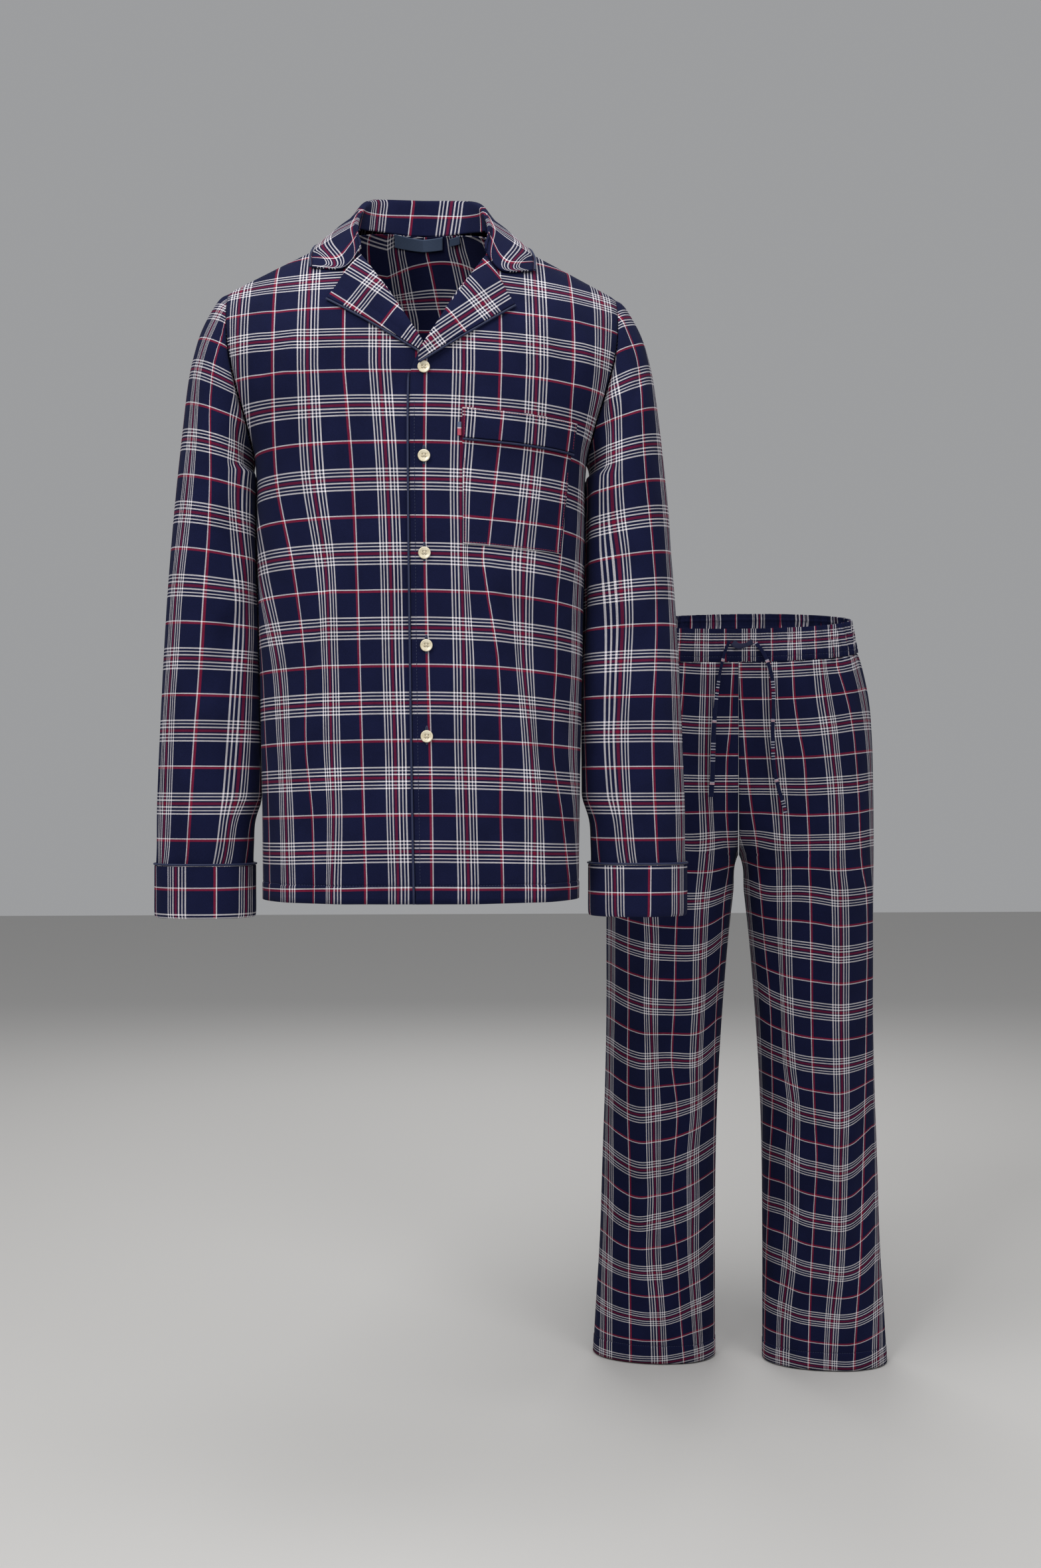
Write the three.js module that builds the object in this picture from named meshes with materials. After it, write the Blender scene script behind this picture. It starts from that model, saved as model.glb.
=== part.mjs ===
// Pyjama set: a jacket with a notched collar and a pair of drawstring trousers, both in checked flannel.
// Each garment keeps the hollow form it has when worn. Millimetres, +Z up, the wearer faces -Y.
// The origin is between the shoulders, at the height where the collar meets them.
// Left and right are the wearer's, so the left side of a garment is on +X.
import * as THREE from 'three';
import { mergeVertices } from 'three/addons/utils/BufferGeometryUtils.js';

// Cloth and seams
const CLOTH = 1.2;
const DOUBLE_CLOTH = 2.2;
const ELASTIC_BAND = 2.6;
const SEAM_GAP = 0.4;
const LAID_ON = 1.3;
const BAND_GAP = 0.8;
const PIPING = 2.6;
const PIPING_SIDES = 6;
const SIDE = { front: -1, back: 1 };
const HAND = { left: 1, right: -1 };

// Jacket body: half width, depth to the front and back, and how much of the half width the panel keeps
// inside the armhole seam
const SQUARENESS = 2.5;
const HEM = -720;
const UNDERARM = -240;
const BODY = [
  { z: -720, half: 174, front: 128, back: 120, centre: -1.5, share: 1 },
  { z: -620, half: 175, front: 127, back: 119, centre: -1.5, share: 1 },
  { z: -520, half: 177, front: 125, back: 117, centre: -1.5, share: 1 },
  { z: -420, half: 179, front: 124, back: 116, centre: -1.5, share: 1 },
  { z: -330, half: 181, front: 126, back: 119, centre: -1.5, share: 1 },
  { z: -240, half: 183, front: 128, back: 122, centre: -1.5, share: 1 },
  { z: -205, half: 197, front: 127, back: 123, centre: -1.5, share: 0.96 },
  { z: -170, half: 213, front: 125, back: 122, centre: -1, share: 0.935 },
  { z: -120, half: 232, front: 120, back: 118, centre: 0, share: 0.905 },
  { z: -54, half: 250, front: 110, back: 112, centre: 0, share: 0.854 },
  { z: 30, half: 268, front: 98, back: 104, centre: 0, share: 0.8 },
];

// Shoulder: a straight sloping ridge, and the height over which the body rounds away below it
const RIDGE_AT_CENTRE = 55.6;
const RIDGE_SLOPE = 0.515;
const NAPE_RISE = 30;
const NAPE_SPREAD = 50;
const ROOF_REACH = 190;
const ROOF_NARROWING = 0.4;
const ROOF_POWER = 0.6;
const SHOULDER_TIP_X = 213.5;
const NECK_X = 72;
const NAPE_SEAM_Z = 33;

// Soft folds hanging in the jacket: x at the top and bottom end, spread across and depth
const JACKET_FOLDS = [
  { side: -1, top: -330, low: -590, xTop: -86, xLow: -118, spread: 17, depth: 5 },
  { side: -1, top: -520, low: -760, xTop: -140, xLow: -146, spread: 15, depth: 6 },
  { side: -1, top: -560, low: -780, xTop: -66, xLow: -92, spread: 17, depth: 5 },
  { side: -1, top: -320, low: -530, xTop: 62, xLow: 86, spread: 16, depth: 4 },
  { side: -1, top: -440, low: -640, xTop: 98, xLow: 116, spread: 15, depth: 5 },
  { side: -1, top: -540, low: -780, xTop: 122, xLow: 140, spread: 16, depth: 6 },
  { side: -1, top: -590, low: -790, xTop: 52, xLow: 60, spread: 18, depth: 4 },
  { side: 1, top: -260, low: -620, xTop: -70, xLow: -96, spread: 20, depth: 6 },
  { side: 1, top: -480, low: -780, xTop: -134, xLow: -142, spread: 16, depth: 6 },
  { side: 1, top: -420, low: -760, xTop: -8, xLow: 6, spread: 22, depth: 5 },
  { side: 1, top: -300, low: -680, xTop: 76, xLow: 98, spread: 19, depth: 6 },
  { side: 1, top: -560, low: -790, xTop: 138, xLow: 146, spread: 15, depth: 5 },
];

// Where each front ends towards the middle: the closing edge, then the roll line, then the neck seam
const LEFT_EDGE = [
  { z: -720, x: -7.5 },
  { z: -545, x: -10.5 },
  { z: -300, x: -13.5 },
  { z: -176, x: -13.5 },
  { z: -158, x: -10.5 },
  { z: -132, x: 3.5 },
  { z: -75, x: 36 },
  { z: -30, x: 66 },
  { z: -5, x: 70 },
  { z: 19, x: 72 },
];
const RIGHT_EDGE = [
  { z: -720, x: -19 },
  { z: -300, x: -19 },
  { z: -178, x: -19 },
  { z: -156, x: -9 },
  { z: -126, x: 6.5 },
  { z: -75, x: 36 },
  { z: -30, x: 66 },
  { z: -5, x: 70 },
  { z: 19, x: 72 },
];
const OVERLAP_LIFT = 2.4;
const OVERLAP_FULL = 24;
const OVERLAP_FADE = 50;
const OVERLAP_BELOW = -100;

// Sleeve: outer and inner line in front view, and the depth of its oval to the front and back
const SLEEVE_SQUARENESS = 2.15;
const SLEEVE = [
  { outX: 229, outZ: -69, inX: 186.4, inZ: -247, front: 66, back: 64, sway: 0, seam: 0.28 },
  { outX: 243, outZ: -96, inX: 187.4, inZ: -257, front: 69, back: 68, sway: -1, seam: 0.15 },
  { outX: 251, outZ: -122, inX: 187.8, inZ: -269, front: 70, back: 71, sway: -1, seam: 0.07 },
  { outX: 257, outZ: -155, inX: 187.8, inZ: -284, front: 71, back: 72, sway: -2, seam: 0.02 },
  { outX: 263, outZ: -210, inX: 187.2, inZ: -315, front: 69, back: 71, sway: -3, seam: 0 },
  { outX: 270, outZ: -275, inX: 186.6, inZ: -352, front: 66, back: 68, sway: -4, seam: 0 },
  { outX: 276, outZ: -343, inX: 186, inZ: -397, front: 62, back: 64, sway: -6, seam: 0 },
  { outX: 281, outZ: -412, inX: 185.4, inZ: -446, front: 58, back: 59, sway: -8, seam: 0 },
  { outX: 285, outZ: -482, inX: 185, inZ: -502, front: 53, back: 54, sway: -10, seam: 0 },
  { outX: 288, outZ: -552, inX: 184.8, inZ: -562, front: 48, back: 48, sway: -11, seam: 0 },
  { outX: 290.2, outZ: -620, inX: 185, inZ: -622, front: 42.5, back: 42, sway: -12, seam: 0 },
  { outX: 290.4, outZ: -672, inX: 186, inZ: -672, front: 38.5, back: 38, sway: -12, seam: 0 },
  { outX: 290.2, outZ: -695, inX: 186.2, inZ: -695, front: 37, back: 36.5, sway: -12, seam: 0 },
];
const CUFF_PIPING_START = 9;
const CUFF_TOP = -684;
const CUFF_LOW = -740;

// Collar from the middle of the nape to its front end: neck seam, fold and outer edge of the fall
const COLLAR = [
  { round: 0, neckX: 0, neckZ: 33.6, foldX: 0, foldY: 68, foldZ: 73, fallX: 0, fallZ: 14 },
  { round: 0.2, neckX: 38, neckZ: 29.6, foldX: 40, foldY: 58, foldZ: 70, fallX: 46, fallZ: 8 },
  { round: 0.4, neckX: 60, neckZ: 25, foldX: 60, foldY: 34, foldZ: 59, fallX: 86, fallZ: -8 },
  { round: 0.6, neckX: 71.8, neckZ: 19.4, foldX: 68, foldY: 2, foldZ: 36, fallX: 111, fallZ: -2.2 },
  { round: 0.8, neckX: 70.6, neckZ: -3, foldX: 70, foldY: -42, foldZ: 8, fallX: 118, fallZ: -24 },
  { round: 1, neckX: 67, neckZ: -26, foldX: 66.5, foldY: -72, foldZ: -23, fallX: 117, fallZ: -45 },
];
const COLLAR_SHOULDER = 0.6;
const NOTCH = { x: 83, z: -49, from: 0.72 };
const COLLAR_ROLL = 9;
const COLLAR_LIFT = 4.2;
const COLLAR_SEAM_LIFT = 1.3;
const COLLAR_STEPS = 12;

// Lapels: roll line and outer corners in front view
const LAPEL = {
  left: { rollTop: [65, -33], rollLow: [-3, -143], tip: [96, -90], low: [-5, -157] },
  right: { rollTop: [65, -33], rollLow: [0, -134], tip: [100, -85], low: [3.5, -143] },
};
const LAPEL_LIFT = 3.6;
const LAPEL_ROLL = 3.2;
const LAPEL_FOOT_RISE = 3;

// Chest pocket on the left front, in front view
const POCKET = {
  top: -224, low: -345, topIn: 40.5, topOut: 158.5, lowIn: 41.5, lowOut: 145.5, slope: 0.05,
};
const POCKET_COLUMNS = 8;
const POCKET_ROWS = 6;
const POCKET_BAND = { top: -204, low: -235 };
const TAB = { inX: 35.4, outX: 39.6, top: -219, low: -233 };
const TAB_LIFT = 2.2;

// Labels inside the nape, below the neck seam
const NECK_LABEL = { inX: -33.7, outX: 23.6, top: 31, low: 19 };
const SIZE_TAB = { inX: 32, outX: 43.4, top: 28, low: 21 };
const LABEL_INSET = 1.2;
const LABEL_STEPS = 4;

// Buttons on the right front, seen through the left front's holes
const BUTTON_RADIUS = 6.45;
const BUTTON_STAND = 0.85;
const BUTTONS = [
  { x: 0.7, z: -162 },
  { x: 1, z: -254.5 },
  { x: 1.4, z: -355 },
  { x: 3.4, z: -451 },
  { x: 4, z: -545.7 },
];

// Trousers stand behind the jacket on its left, turned to face the same viewer
const TROUSERS_X = 446;
const TROUSERS_Y = 514;
const TROUSERS_TURN = -10.2;
const LEG_SQUARENESS = 2.25;
const SIDE_SEAM_TOP = -409.4;
const SEAM_DIP_FRONT = 21;
const SEAM_RISE_BACK = 14;
const SEAM_FADE = -560;
const LEG = [
  { z: -1400, out: 206, inn: 33, front: 60, back: 64 },
  { z: -1330, out: 202, inn: 33, front: 62, back: 67 },
  { z: -1240, out: 196.5, inn: 33, front: 66, back: 70 },
  { z: -1120, out: 192.5, inn: 32, front: 70, back: 75 },
  { z: -1020, out: 189, inn: 29, front: 74, back: 80 },
  { z: -920, out: 187, inn: 23, front: 78, back: 86 },
  { z: -820, out: 187, inn: 15, front: 85, back: 94 },
  { z: -750, out: 187, inn: 7.5, front: 93, back: 104 },
  { z: -696, out: 187.5, inn: 1, front: 100, back: 112 },
  { z: -655, out: 187.5, inn: -36, front: 105, back: 117 },
  { z: -600, out: 187, inn: -100, front: 110, back: 120 },
  { z: -540, out: 185.5, inn: -160, front: 114, back: 121 },
  { z: -480, out: 181.2, inn: -181.2, front: 115, back: 119 },
  { z: -430, out: 171, inn: -171, front: 114, back: 115 },
  { z: -395, out: 160, inn: -160, front: 111, back: 112 },
  { z: -350, out: 153, inn: -153, front: 109, back: 110 },
];
const LEG_LEVELS = [
  -1400, -1320, -1240, -1155, -1070, -990, -910, -840, -775, -725, -697, -682, -655, -615, -570, -525, -480,
  -442, -409.4,
];
const LEG_COLUMNS = 12;

// Soft folds in the legs: x counts from the middle of the trousers, spread across and depth
const LEG_FOLDS = [
  { side: -1, hand: -1, top: -560, low: -1330, xTop: 128, xLow: 134, spread: 17, depth: 5 },
  { side: -1, hand: -1, top: -640, low: -1430, xTop: 54, xLow: 76, spread: 16, depth: 5 },
  { side: -1, hand: 1, top: -700, low: -1430, xTop: 62, xLow: 84, spread: 17, depth: 6 },
  { side: -1, hand: 1, top: -620, low: -1250, xTop: 132, xLow: 140, spread: 18, depth: 4 },
  { side: 1, hand: -1, top: -600, low: -1380, xTop: 112, xLow: 128, spread: 19, depth: 6 },
  { side: 1, hand: -1, top: -760, low: -1440, xTop: 66, xLow: 70, spread: 15, depth: 4 },
  { side: 1, hand: 1, top: -640, low: -1440, xTop: 96, xLow: 104, spread: 18, depth: 6 },
  { side: 1, hand: 1, top: -590, low: -1100, xTop: 146, xLow: 150, spread: 15, depth: 4 },
];
const GATHER_FADE = -505;
const GATHER_DEPTH = 2.6;
const GATHERS_A_PANEL = 3;

// Waistband: gathered on elastic, lower at the front than at the back
const BAND_TOP_SIDE = -364;
const BAND_DIP_FRONT = 21;
const BAND_RISE_BACK = 20;
const BAND_PUFF = 2.4;
const BAND_GATHERS = 21;
const BAND_GATHER_DEPTH = 1.1;
const STEPS_A_GATHER = 4;

// Drawstring: a flat tie of the same cloth, with two free ends that hang in front of the trousers
const TIE_WIDTH = 7;
const TIE_THICKNESS = 2.2;
const BOW = [[18.5, -117, -403], [11, -118, -407], [0, -118.3, -409], [-8, -117.6, -404]];
const BOW_WIDTH = 9;
const BOW_THICKNESS = 2.8;
const BOW_STEPS = 6;
const TIE_SIDES = 8;
const TIE_STEPS = 20;
const TIE_LEFT = [
  [23.1, -116.6, -405], [31, -119, -415], [38.5, -120.7, -430], [43, -121.5, -444], [45.7, -121.8, -460],
  [46.6, -122, -474], [46.6, -122.3, -488], [46, -122.5, -502], [45.7, -122.5, -516], [45.5, -122.3, -530],
  [45.8, -122, -545], [46.4, -121.6, -560], [48, -121, -575], [51, -120.4, -591], [55.5, -119.6, -608],
  [60, -118.6, -622], [62.6, -117.8, -635],
];
const TIE_RIGHT = [
  [-12.2, -116.6, -402], [-17, -119, -413], [-21.5, -120.8, -429], [-25, -121.8, -446], [-27.8, -122, -464],
  [-30, -122.2, -482], [-31.6, -122.4, -500], [-32.8, -122.4, -516], [-33.6, -122.4, -532],
  [-34.1, -122.2, -548], [-34.5, -121.8, -563], [-34.8, -121.4, -578], [-35.4, -121, -592],
  [-36.9, -120.2, -612.5],
];

// A value from a table, by height z unless another column is named, with smooth slopes between its rows
function readTable(table, column, value, by = 'z') {
  const last = table.length - 1;
  if (value <= table[0][by]) return table[0][column];
  if (value >= table[last][by]) return table[last][column];
  let row = 0;
  while (table[row + 1][by] < value) row += 1;
  const slope = (k) => {
    const low = table[Math.max(k - 1, 0)];
    const high = table[Math.min(k + 1, last)];
    return (high[column] - low[column]) / (high[by] - low[by]);
  };
  const span = table[row + 1][by] - table[row][by];
  const t = (value - table[row][by]) / span;
  const s = 1 - t;
  return table[row][column] * (1 + 2 * t) * s * s + slope(row) * span * t * s * s
    + table[row + 1][column] * t * t * (3 - 2 * t) - slope(row + 1) * span * t * t * s;
}

function mix(a, b, t) {
  return a + (b - a) * t;
}

function ease(t) {
  const clamped = Math.min(Math.max(t, 0), 1);
  return clamped * clamped * (3 - 2 * clamped);
}

// Height of the soft folds of one table at a point
function foldHeight(folds, side, x, z, hand) {
  let sum = 0;
  for (const fold of folds) {
    if (fold.side !== side || (fold.hand !== undefined && fold.hand !== hand)) continue;
    const run = (fold.top - z) / (fold.top - fold.low);
    if (run <= 0 || run >= 1) continue;
    const offset = (x - mix(fold.xTop, fold.xLow, run)) / fold.spread;
    sum += fold.depth * ease(run * 3) * ease((1 - run) * 4) * Math.exp(-offset * offset);
  }
  return sum;
}

function ridgeHeight(x, side) {
  const nape = side > 0 ? NAPE_RISE * Math.exp(-((x / NAPE_SPREAD) ** 2)) : 0;
  return RIDGE_AT_CENTRE - RIDGE_SLOPE * Math.abs(x) + nape;
}

// How far the jacket's outer face stands in front of or behind the shoulder plane
function bodyDepth(x, z, side) {
  const half = readTable(BODY, 'half', z);
  const across = Math.min(Math.abs(x - readTable(BODY, 'centre', z)) / half, 1);
  const round = (1 - across ** SQUARENESS) ** (1 / SQUARENESS);
  const drop = Math.max(ridgeHeight(x, side) - z, 0);
  const rise = Math.max(1 - drop / (ROOF_REACH - ROOF_NARROWING * Math.abs(x)), 0);
  const roof = (1 - rise * rise) ** ROOF_POWER;
  const fold = foldHeight(JACKET_FOLDS, side, x, z) * (1 - across ** 6);
  return readTable(BODY, side < 0 ? 'front' : 'back', z) * round * roof + fold;
}

// A point at a given distance off the jacket's outer face
function onBody(x, z, side, lift) {
  const step = 1;
  const acrossSlope = (bodyDepth(x + step, z, side) - bodyDepth(x - step, z, side)) / (2 * step);
  const upSlope = (bodyDepth(x, z + step, side) - bodyDepth(x, z - step, side)) / (2 * step);
  const normal = new THREE.Vector3(-acrossSlope, side, -upSlope).normalize();
  return new THREE.Vector3(x, side * bodyDepth(x, z, side), z).addScaledVector(normal, lift);
}

// How far the left front stands off where it lies over the right front
function lapLift(x, z) {
  return OVERLAP_LIFT * (1 - ease((x - OVERLAP_FULL) / OVERLAP_FADE)) * ease((OVERLAP_BELOW - z) / 30);
}

// Closed solid between a grid of points and the same grid moved in by the cloth's thickness.
// A ring's columns run round and meet; a sheet has a rim on all four sides.
function clothWall(grid, thickness, core, ring = false) {
  const rows = grid.length;
  const columns = grid[0].length;
  const wrap = (j) => (ring ? (j + columns) % columns : Math.min(Math.max(j, 0), columns - 1));
  const hold = (i) => Math.min(Math.max(i, 0), rows - 1);
  const normals = grid.map((line, i) => line.map((_, j) => {
    const along = grid[hold(i + 1)][j].clone().sub(grid[hold(i - 1)][j]);
    const across = grid[i][wrap(j + 1)].clone().sub(grid[i][wrap(j - 1)]);
    return across.cross(along).normalize();
  }));
  let vote = 0;
  grid.forEach((line, i) => line.forEach((point, j) => {
    vote += Math.sign(normals[i][j].dot(point.clone().sub(core(point))));
  }));
  const inward = -Math.sign(vote) * thickness;
  const positions = [];
  grid.forEach((line) => line.forEach((p) => positions.push(p.x, p.y, p.z)));
  grid.forEach((line, i) => line.forEach((point, j) => {
    const p = point.clone().addScaledVector(normals[i][j], inward);
    positions.push(p.x, p.y, p.z);
  }));
  const outer = (i, j) => i * columns + wrap(j);
  const inner = (i, j) => rows * columns + i * columns + wrap(j);
  const index = [];
  const quad = (a, b, c, d) => index.push(a, b, c, a, c, d);
  const lastColumn = ring ? columns : columns - 1;
  for (let i = 0; i < rows - 1; i += 1) {
    for (let j = 0; j < lastColumn; j += 1) {
      quad(outer(i, j), outer(i, j + 1), outer(i + 1, j + 1), outer(i + 1, j));
      quad(inner(i, j), inner(i + 1, j), inner(i + 1, j + 1), inner(i, j + 1));
    }
    if (!ring) {
      quad(outer(i, 0), outer(i + 1, 0), inner(i + 1, 0), inner(i, 0));
      quad(outer(i + 1, lastColumn), outer(i, lastColumn), inner(i, lastColumn), inner(i + 1, lastColumn));
    }
  }
  for (let j = 0; j < lastColumn; j += 1) {
    quad(outer(0, j + 1), outer(0, j), inner(0, j), inner(0, j + 1));
    quad(outer(rows - 1, j), outer(rows - 1, j + 1), inner(rows - 1, j + 1), inner(rows - 1, j));
  }
  return facingOut(positions, index);
}

// Geometry from shared points, with its faces turned outwards
function facingOut(positions, index) {
  let volume = 0;
  const corner = (k) => new THREE.Vector3(positions[3 * k], positions[3 * k + 1], positions[3 * k + 2]);
  for (let k = 0; k < index.length; k += 3) {
    volume += corner(index[k]).dot(corner(index[k + 1]).cross(corner(index[k + 2])));
  }
  const order = volume < 0 ? index.slice().reverse() : index;
  const geometry = new THREE.BufferGeometry();
  geometry.setAttribute('position', new THREE.Float32BufferAttribute(positions, 3));
  geometry.setIndex(order);
  geometry.computeVertexNormals();
  return geometry;
}

// Solid tube or flat tie along a smooth path through the points
function tube(points, width, thickness, sides, steps) {
  const outline = new THREE.Shape();
  for (let k = 0; k < sides; k += 1) {
    const angle = (2 * Math.PI * k) / sides;
    const x = (thickness / 2) * Math.cos(angle);
    const y = (width / 2) * Math.sin(angle);
    if (k === 0) outline.moveTo(x, y);
    else outline.lineTo(x, y);
  }
  const path = new THREE.CatmullRomCurve3(points);
  const geometry = new THREE.ExtrudeGeometry(outline, { steps, extrudePath: path, bevelEnabled: false });
  geometry.deleteAttribute('normal');
  geometry.deleteAttribute('uv');
  return mergeVertices(geometry, 1e-3);
}

const checkedFlannel = new THREE.MeshStandardMaterial({ color: 0x1b2144, roughness: 0.92, metalness: 0 });
const navyPiping = new THREE.MeshStandardMaterial({ color: 0x11142c, roughness: 0.7, metalness: 0 });
const creamButton = new THREE.MeshStandardMaterial({ color: 0xe6dcc0, roughness: 0.35, metalness: 0 });
const navyLabel = new THREE.MeshStandardMaterial({ color: 0x27374d, roughness: 0.7, metalness: 0 });
const wovenTab = new THREE.MeshStandardMaterial({ color: 0x8f3044, roughness: 0.75, metalness: 0 });

function piece(name, geometry, material) {
  const mesh = new THREE.Mesh(geometry, material);
  mesh.name = name;
  return mesh;
}

const bodyCore = (p) => new THREE.Vector3(0, 0, Math.min(p.z, -60));

// Fronts: level rows up to the underarm, then rows that turn with the armhole and the neckline
const LOWER_ROWS = 9;
const UPPER_ROWS = 10;
const FRONT_COLUMNS = 12;
const ROW_CROWDING = 1.8;

function risen(k, count) {
  return 1 - (1 - k / count) ** ROW_CROWDING;
}

function frontGrid(hand) {
  const edge = hand > 0 ? LEFT_EDGE : RIGHT_EDGE;
  const neckTop = ridgeHeight(NECK_X, SIDE.front);
  const tipTop = ridgeHeight(SHOULDER_TIP_X, SIDE.front);
  const rows = [];
  for (let k = 0; k <= LOWER_ROWS + UPPER_ROWS; k += 1) {
    const up = k <= LOWER_ROWS ? 0 : risen(k - LOWER_ROWS, UPPER_ROWS);
    const level = HEM + (UNDERARM - HEM) * Math.min(k / LOWER_ROWS, 1);
    const outerZ = k <= LOWER_ROWS ? level : mix(UNDERARM, tipTop, up);
    const innerZ = k <= LOWER_ROWS ? level : mix(UNDERARM, neckTop, up);
    const reach = readTable(BODY, 'half', outerZ) * readTable(BODY, 'share', outerZ);
    const outerX = readTable(BODY, 'centre', outerZ) + hand * (up === 1 ? SHOULDER_TIP_X : reach);
    const innerX = readTable(edge, 'x', innerZ) * (hand > 0 ? 1 : -1);
    const line = [];
    for (let j = 0; j <= FRONT_COLUMNS; j += 1) {
      const even = j / FRONT_COLUMNS;
      const round = Math.sin((Math.PI / 2) * even) ** (2 / SQUARENESS);
      const t = mix(round, even, up);
      const x = mix(innerX, outerX, t);
      const z = mix(innerZ, outerZ, t);
      const y = -bodyDepth(x, z, SIDE.front) - (hand > 0 ? lapLift(x, z) : 0);
      line.push(new THREE.Vector3(x, y - (SEAM_GAP / 2) * (1 + up), z));
    }
    rows.push(line);
  }
  return rows;
}

// Back: one panel from side to side, with the nape of the neck cut out of its top edge
const BACK_COLUMNS = 9;
const BACK_NECK_COLUMNS = 4;
const BACK_LOWER_ROWS = 8;
const BACK_UPPER_ROWS = 8;

function backTop(x) {
  const across = Math.abs(x) / NECK_X;
  const seam = NAPE_SEAM_Z - (NAPE_SEAM_Z - ridgeHeight(NECK_X, SIDE.front)) * across * across;
  return across < 1 ? seam : ridgeHeight(x, SIDE.front);
}

function backGrid() {
  const rows = [];
  for (let k = 0; k <= BACK_LOWER_ROWS + BACK_UPPER_ROWS; k += 1) {
    const up = k <= BACK_LOWER_ROWS ? 0 : risen(k - BACK_LOWER_ROWS, BACK_UPPER_ROWS);
    const level = HEM + (UNDERARM - HEM) * Math.min(k / BACK_LOWER_ROWS, 1);
    const tipTop = ridgeHeight(SHOULDER_TIP_X, SIDE.front);
    const outerZ = k <= BACK_LOWER_ROWS ? level : mix(UNDERARM, tipTop, up);
    const reach = readTable(BODY, 'half', outerZ) * readTable(BODY, 'share', outerZ);
    const centre = readTable(BODY, 'centre', outerZ);
    const line = [];
    for (let j = -BACK_COLUMNS; j <= BACK_COLUMNS; j += 1) {
      const even = Math.abs(j) / BACK_COLUMNS;
      const neckShare = NECK_X / SHOULDER_TIP_X;
      const beyond = (Math.abs(j) - BACK_NECK_COLUMNS) / (BACK_COLUMNS - BACK_NECK_COLUMNS);
      const top = beyond < 0 ? (neckShare * Math.abs(j)) / BACK_NECK_COLUMNS : mix(neckShare, 1, beyond);
      const share = mix(Math.sin((Math.PI / 2) * even) ** (2 / SQUARENESS), top, up);
      const x = centre + Math.sign(j) * (up === 1 ? SHOULDER_TIP_X : reach) * share;
      const z = k <= BACK_LOWER_ROWS ? level : mix(UNDERARM, backTop(x), up);
      line.push(new THREE.Vector3(x, bodyDepth(x, z, SIDE.back) + (SEAM_GAP / 2) * (1 + up), z));
    }
    rows.push(line);
  }
  return rows;
}

// Sleeve: a tube of rings from the armhole seam to just inside the cuff
const SLEEVE_COLUMNS = 18;

function armholePoint(hand, angle) {
  const tip = ridgeHeight(SHOULDER_TIP_X, SIDE.front);
  const z = (tip + UNDERARM) / 2 + ((tip - UNDERARM) / 2) * Math.cos(angle);
  const share = readTable(BODY, 'share', z);
  const side = Math.sin(angle) > 0 ? SIDE.front : SIDE.back;
  const x = readTable(BODY, 'centre', z) + hand * readTable(BODY, 'half', z) * share;
  const y = side * bodyDepth(x, z, side) * Math.min(1, Math.abs(Math.sin(angle)) * 8);
  return new THREE.Vector3(x + hand * (SEAM_GAP + 0.2), y, z);
}

function sleeveRing(row, hand, angle) {
  const power = 2 / SLEEVE_SQUARENESS;
  const up = Math.sign(Math.cos(angle)) * Math.abs(Math.cos(angle)) ** power;
  const out = Math.sign(Math.sin(angle)) * Math.abs(Math.sin(angle)) ** power;
  const depth = out > 0 ? row.front : row.back;
  return new THREE.Vector3(
    hand * ((row.outX + row.inX) / 2 + ((row.outX - row.inX) / 2) * up),
    row.sway - depth * out,
    (row.outZ + row.inZ) / 2 + ((row.outZ - row.inZ) / 2) * up,
  );
}

function sleeveGrid(hand) {
  const angles = [];
  for (let j = 0; j < SLEEVE_COLUMNS; j += 1) angles.push((2 * Math.PI * j) / SLEEVE_COLUMNS);
  const rows = [angles.map((angle) => armholePoint(hand, angle))];
  SLEEVE.forEach((row) => {
    rows.push(angles.map((angle) => {
      const start = sleeveRing(SLEEVE[0], hand, angle);
      const pull = armholePoint(hand, angle).sub(start);
      return sleeveRing(row, hand, angle).addScaledVector(pull, row.seam);
    }));
  });
  return rows;
}

function sleeveCore(hand) {
  return (p) => new THREE.Vector3(hand * 232, -6, Math.min(p.z, -160));
}

function cuffGrid(hand) {
  const grow = DOUBLE_CLOTH + 0.7;
  const end = SLEEVE[SLEEVE.length - 2];
  const middle = (CUFF_TOP + CUFF_LOW) / 2;
  const levels = [{ z: CUFF_LOW, grow: grow - 0.6 }, { z: middle, grow }, { z: CUFF_TOP, grow }];
  return levels.map((level) => {
    const line = [];
    for (let j = 0; j < SLEEVE_COLUMNS; j += 1) {
      const row = {
        outX: end.outX + level.grow,
        inX: end.inX - level.grow,
        outZ: level.z,
        inZ: level.z,
        front: end.front + level.grow,
        back: end.back + level.grow,
        sway: end.sway,
      };
      line.push(sleeveRing(row, hand, (2 * Math.PI * j) / SLEEVE_COLUMNS));
    }
    return line;
  });
}

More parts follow.
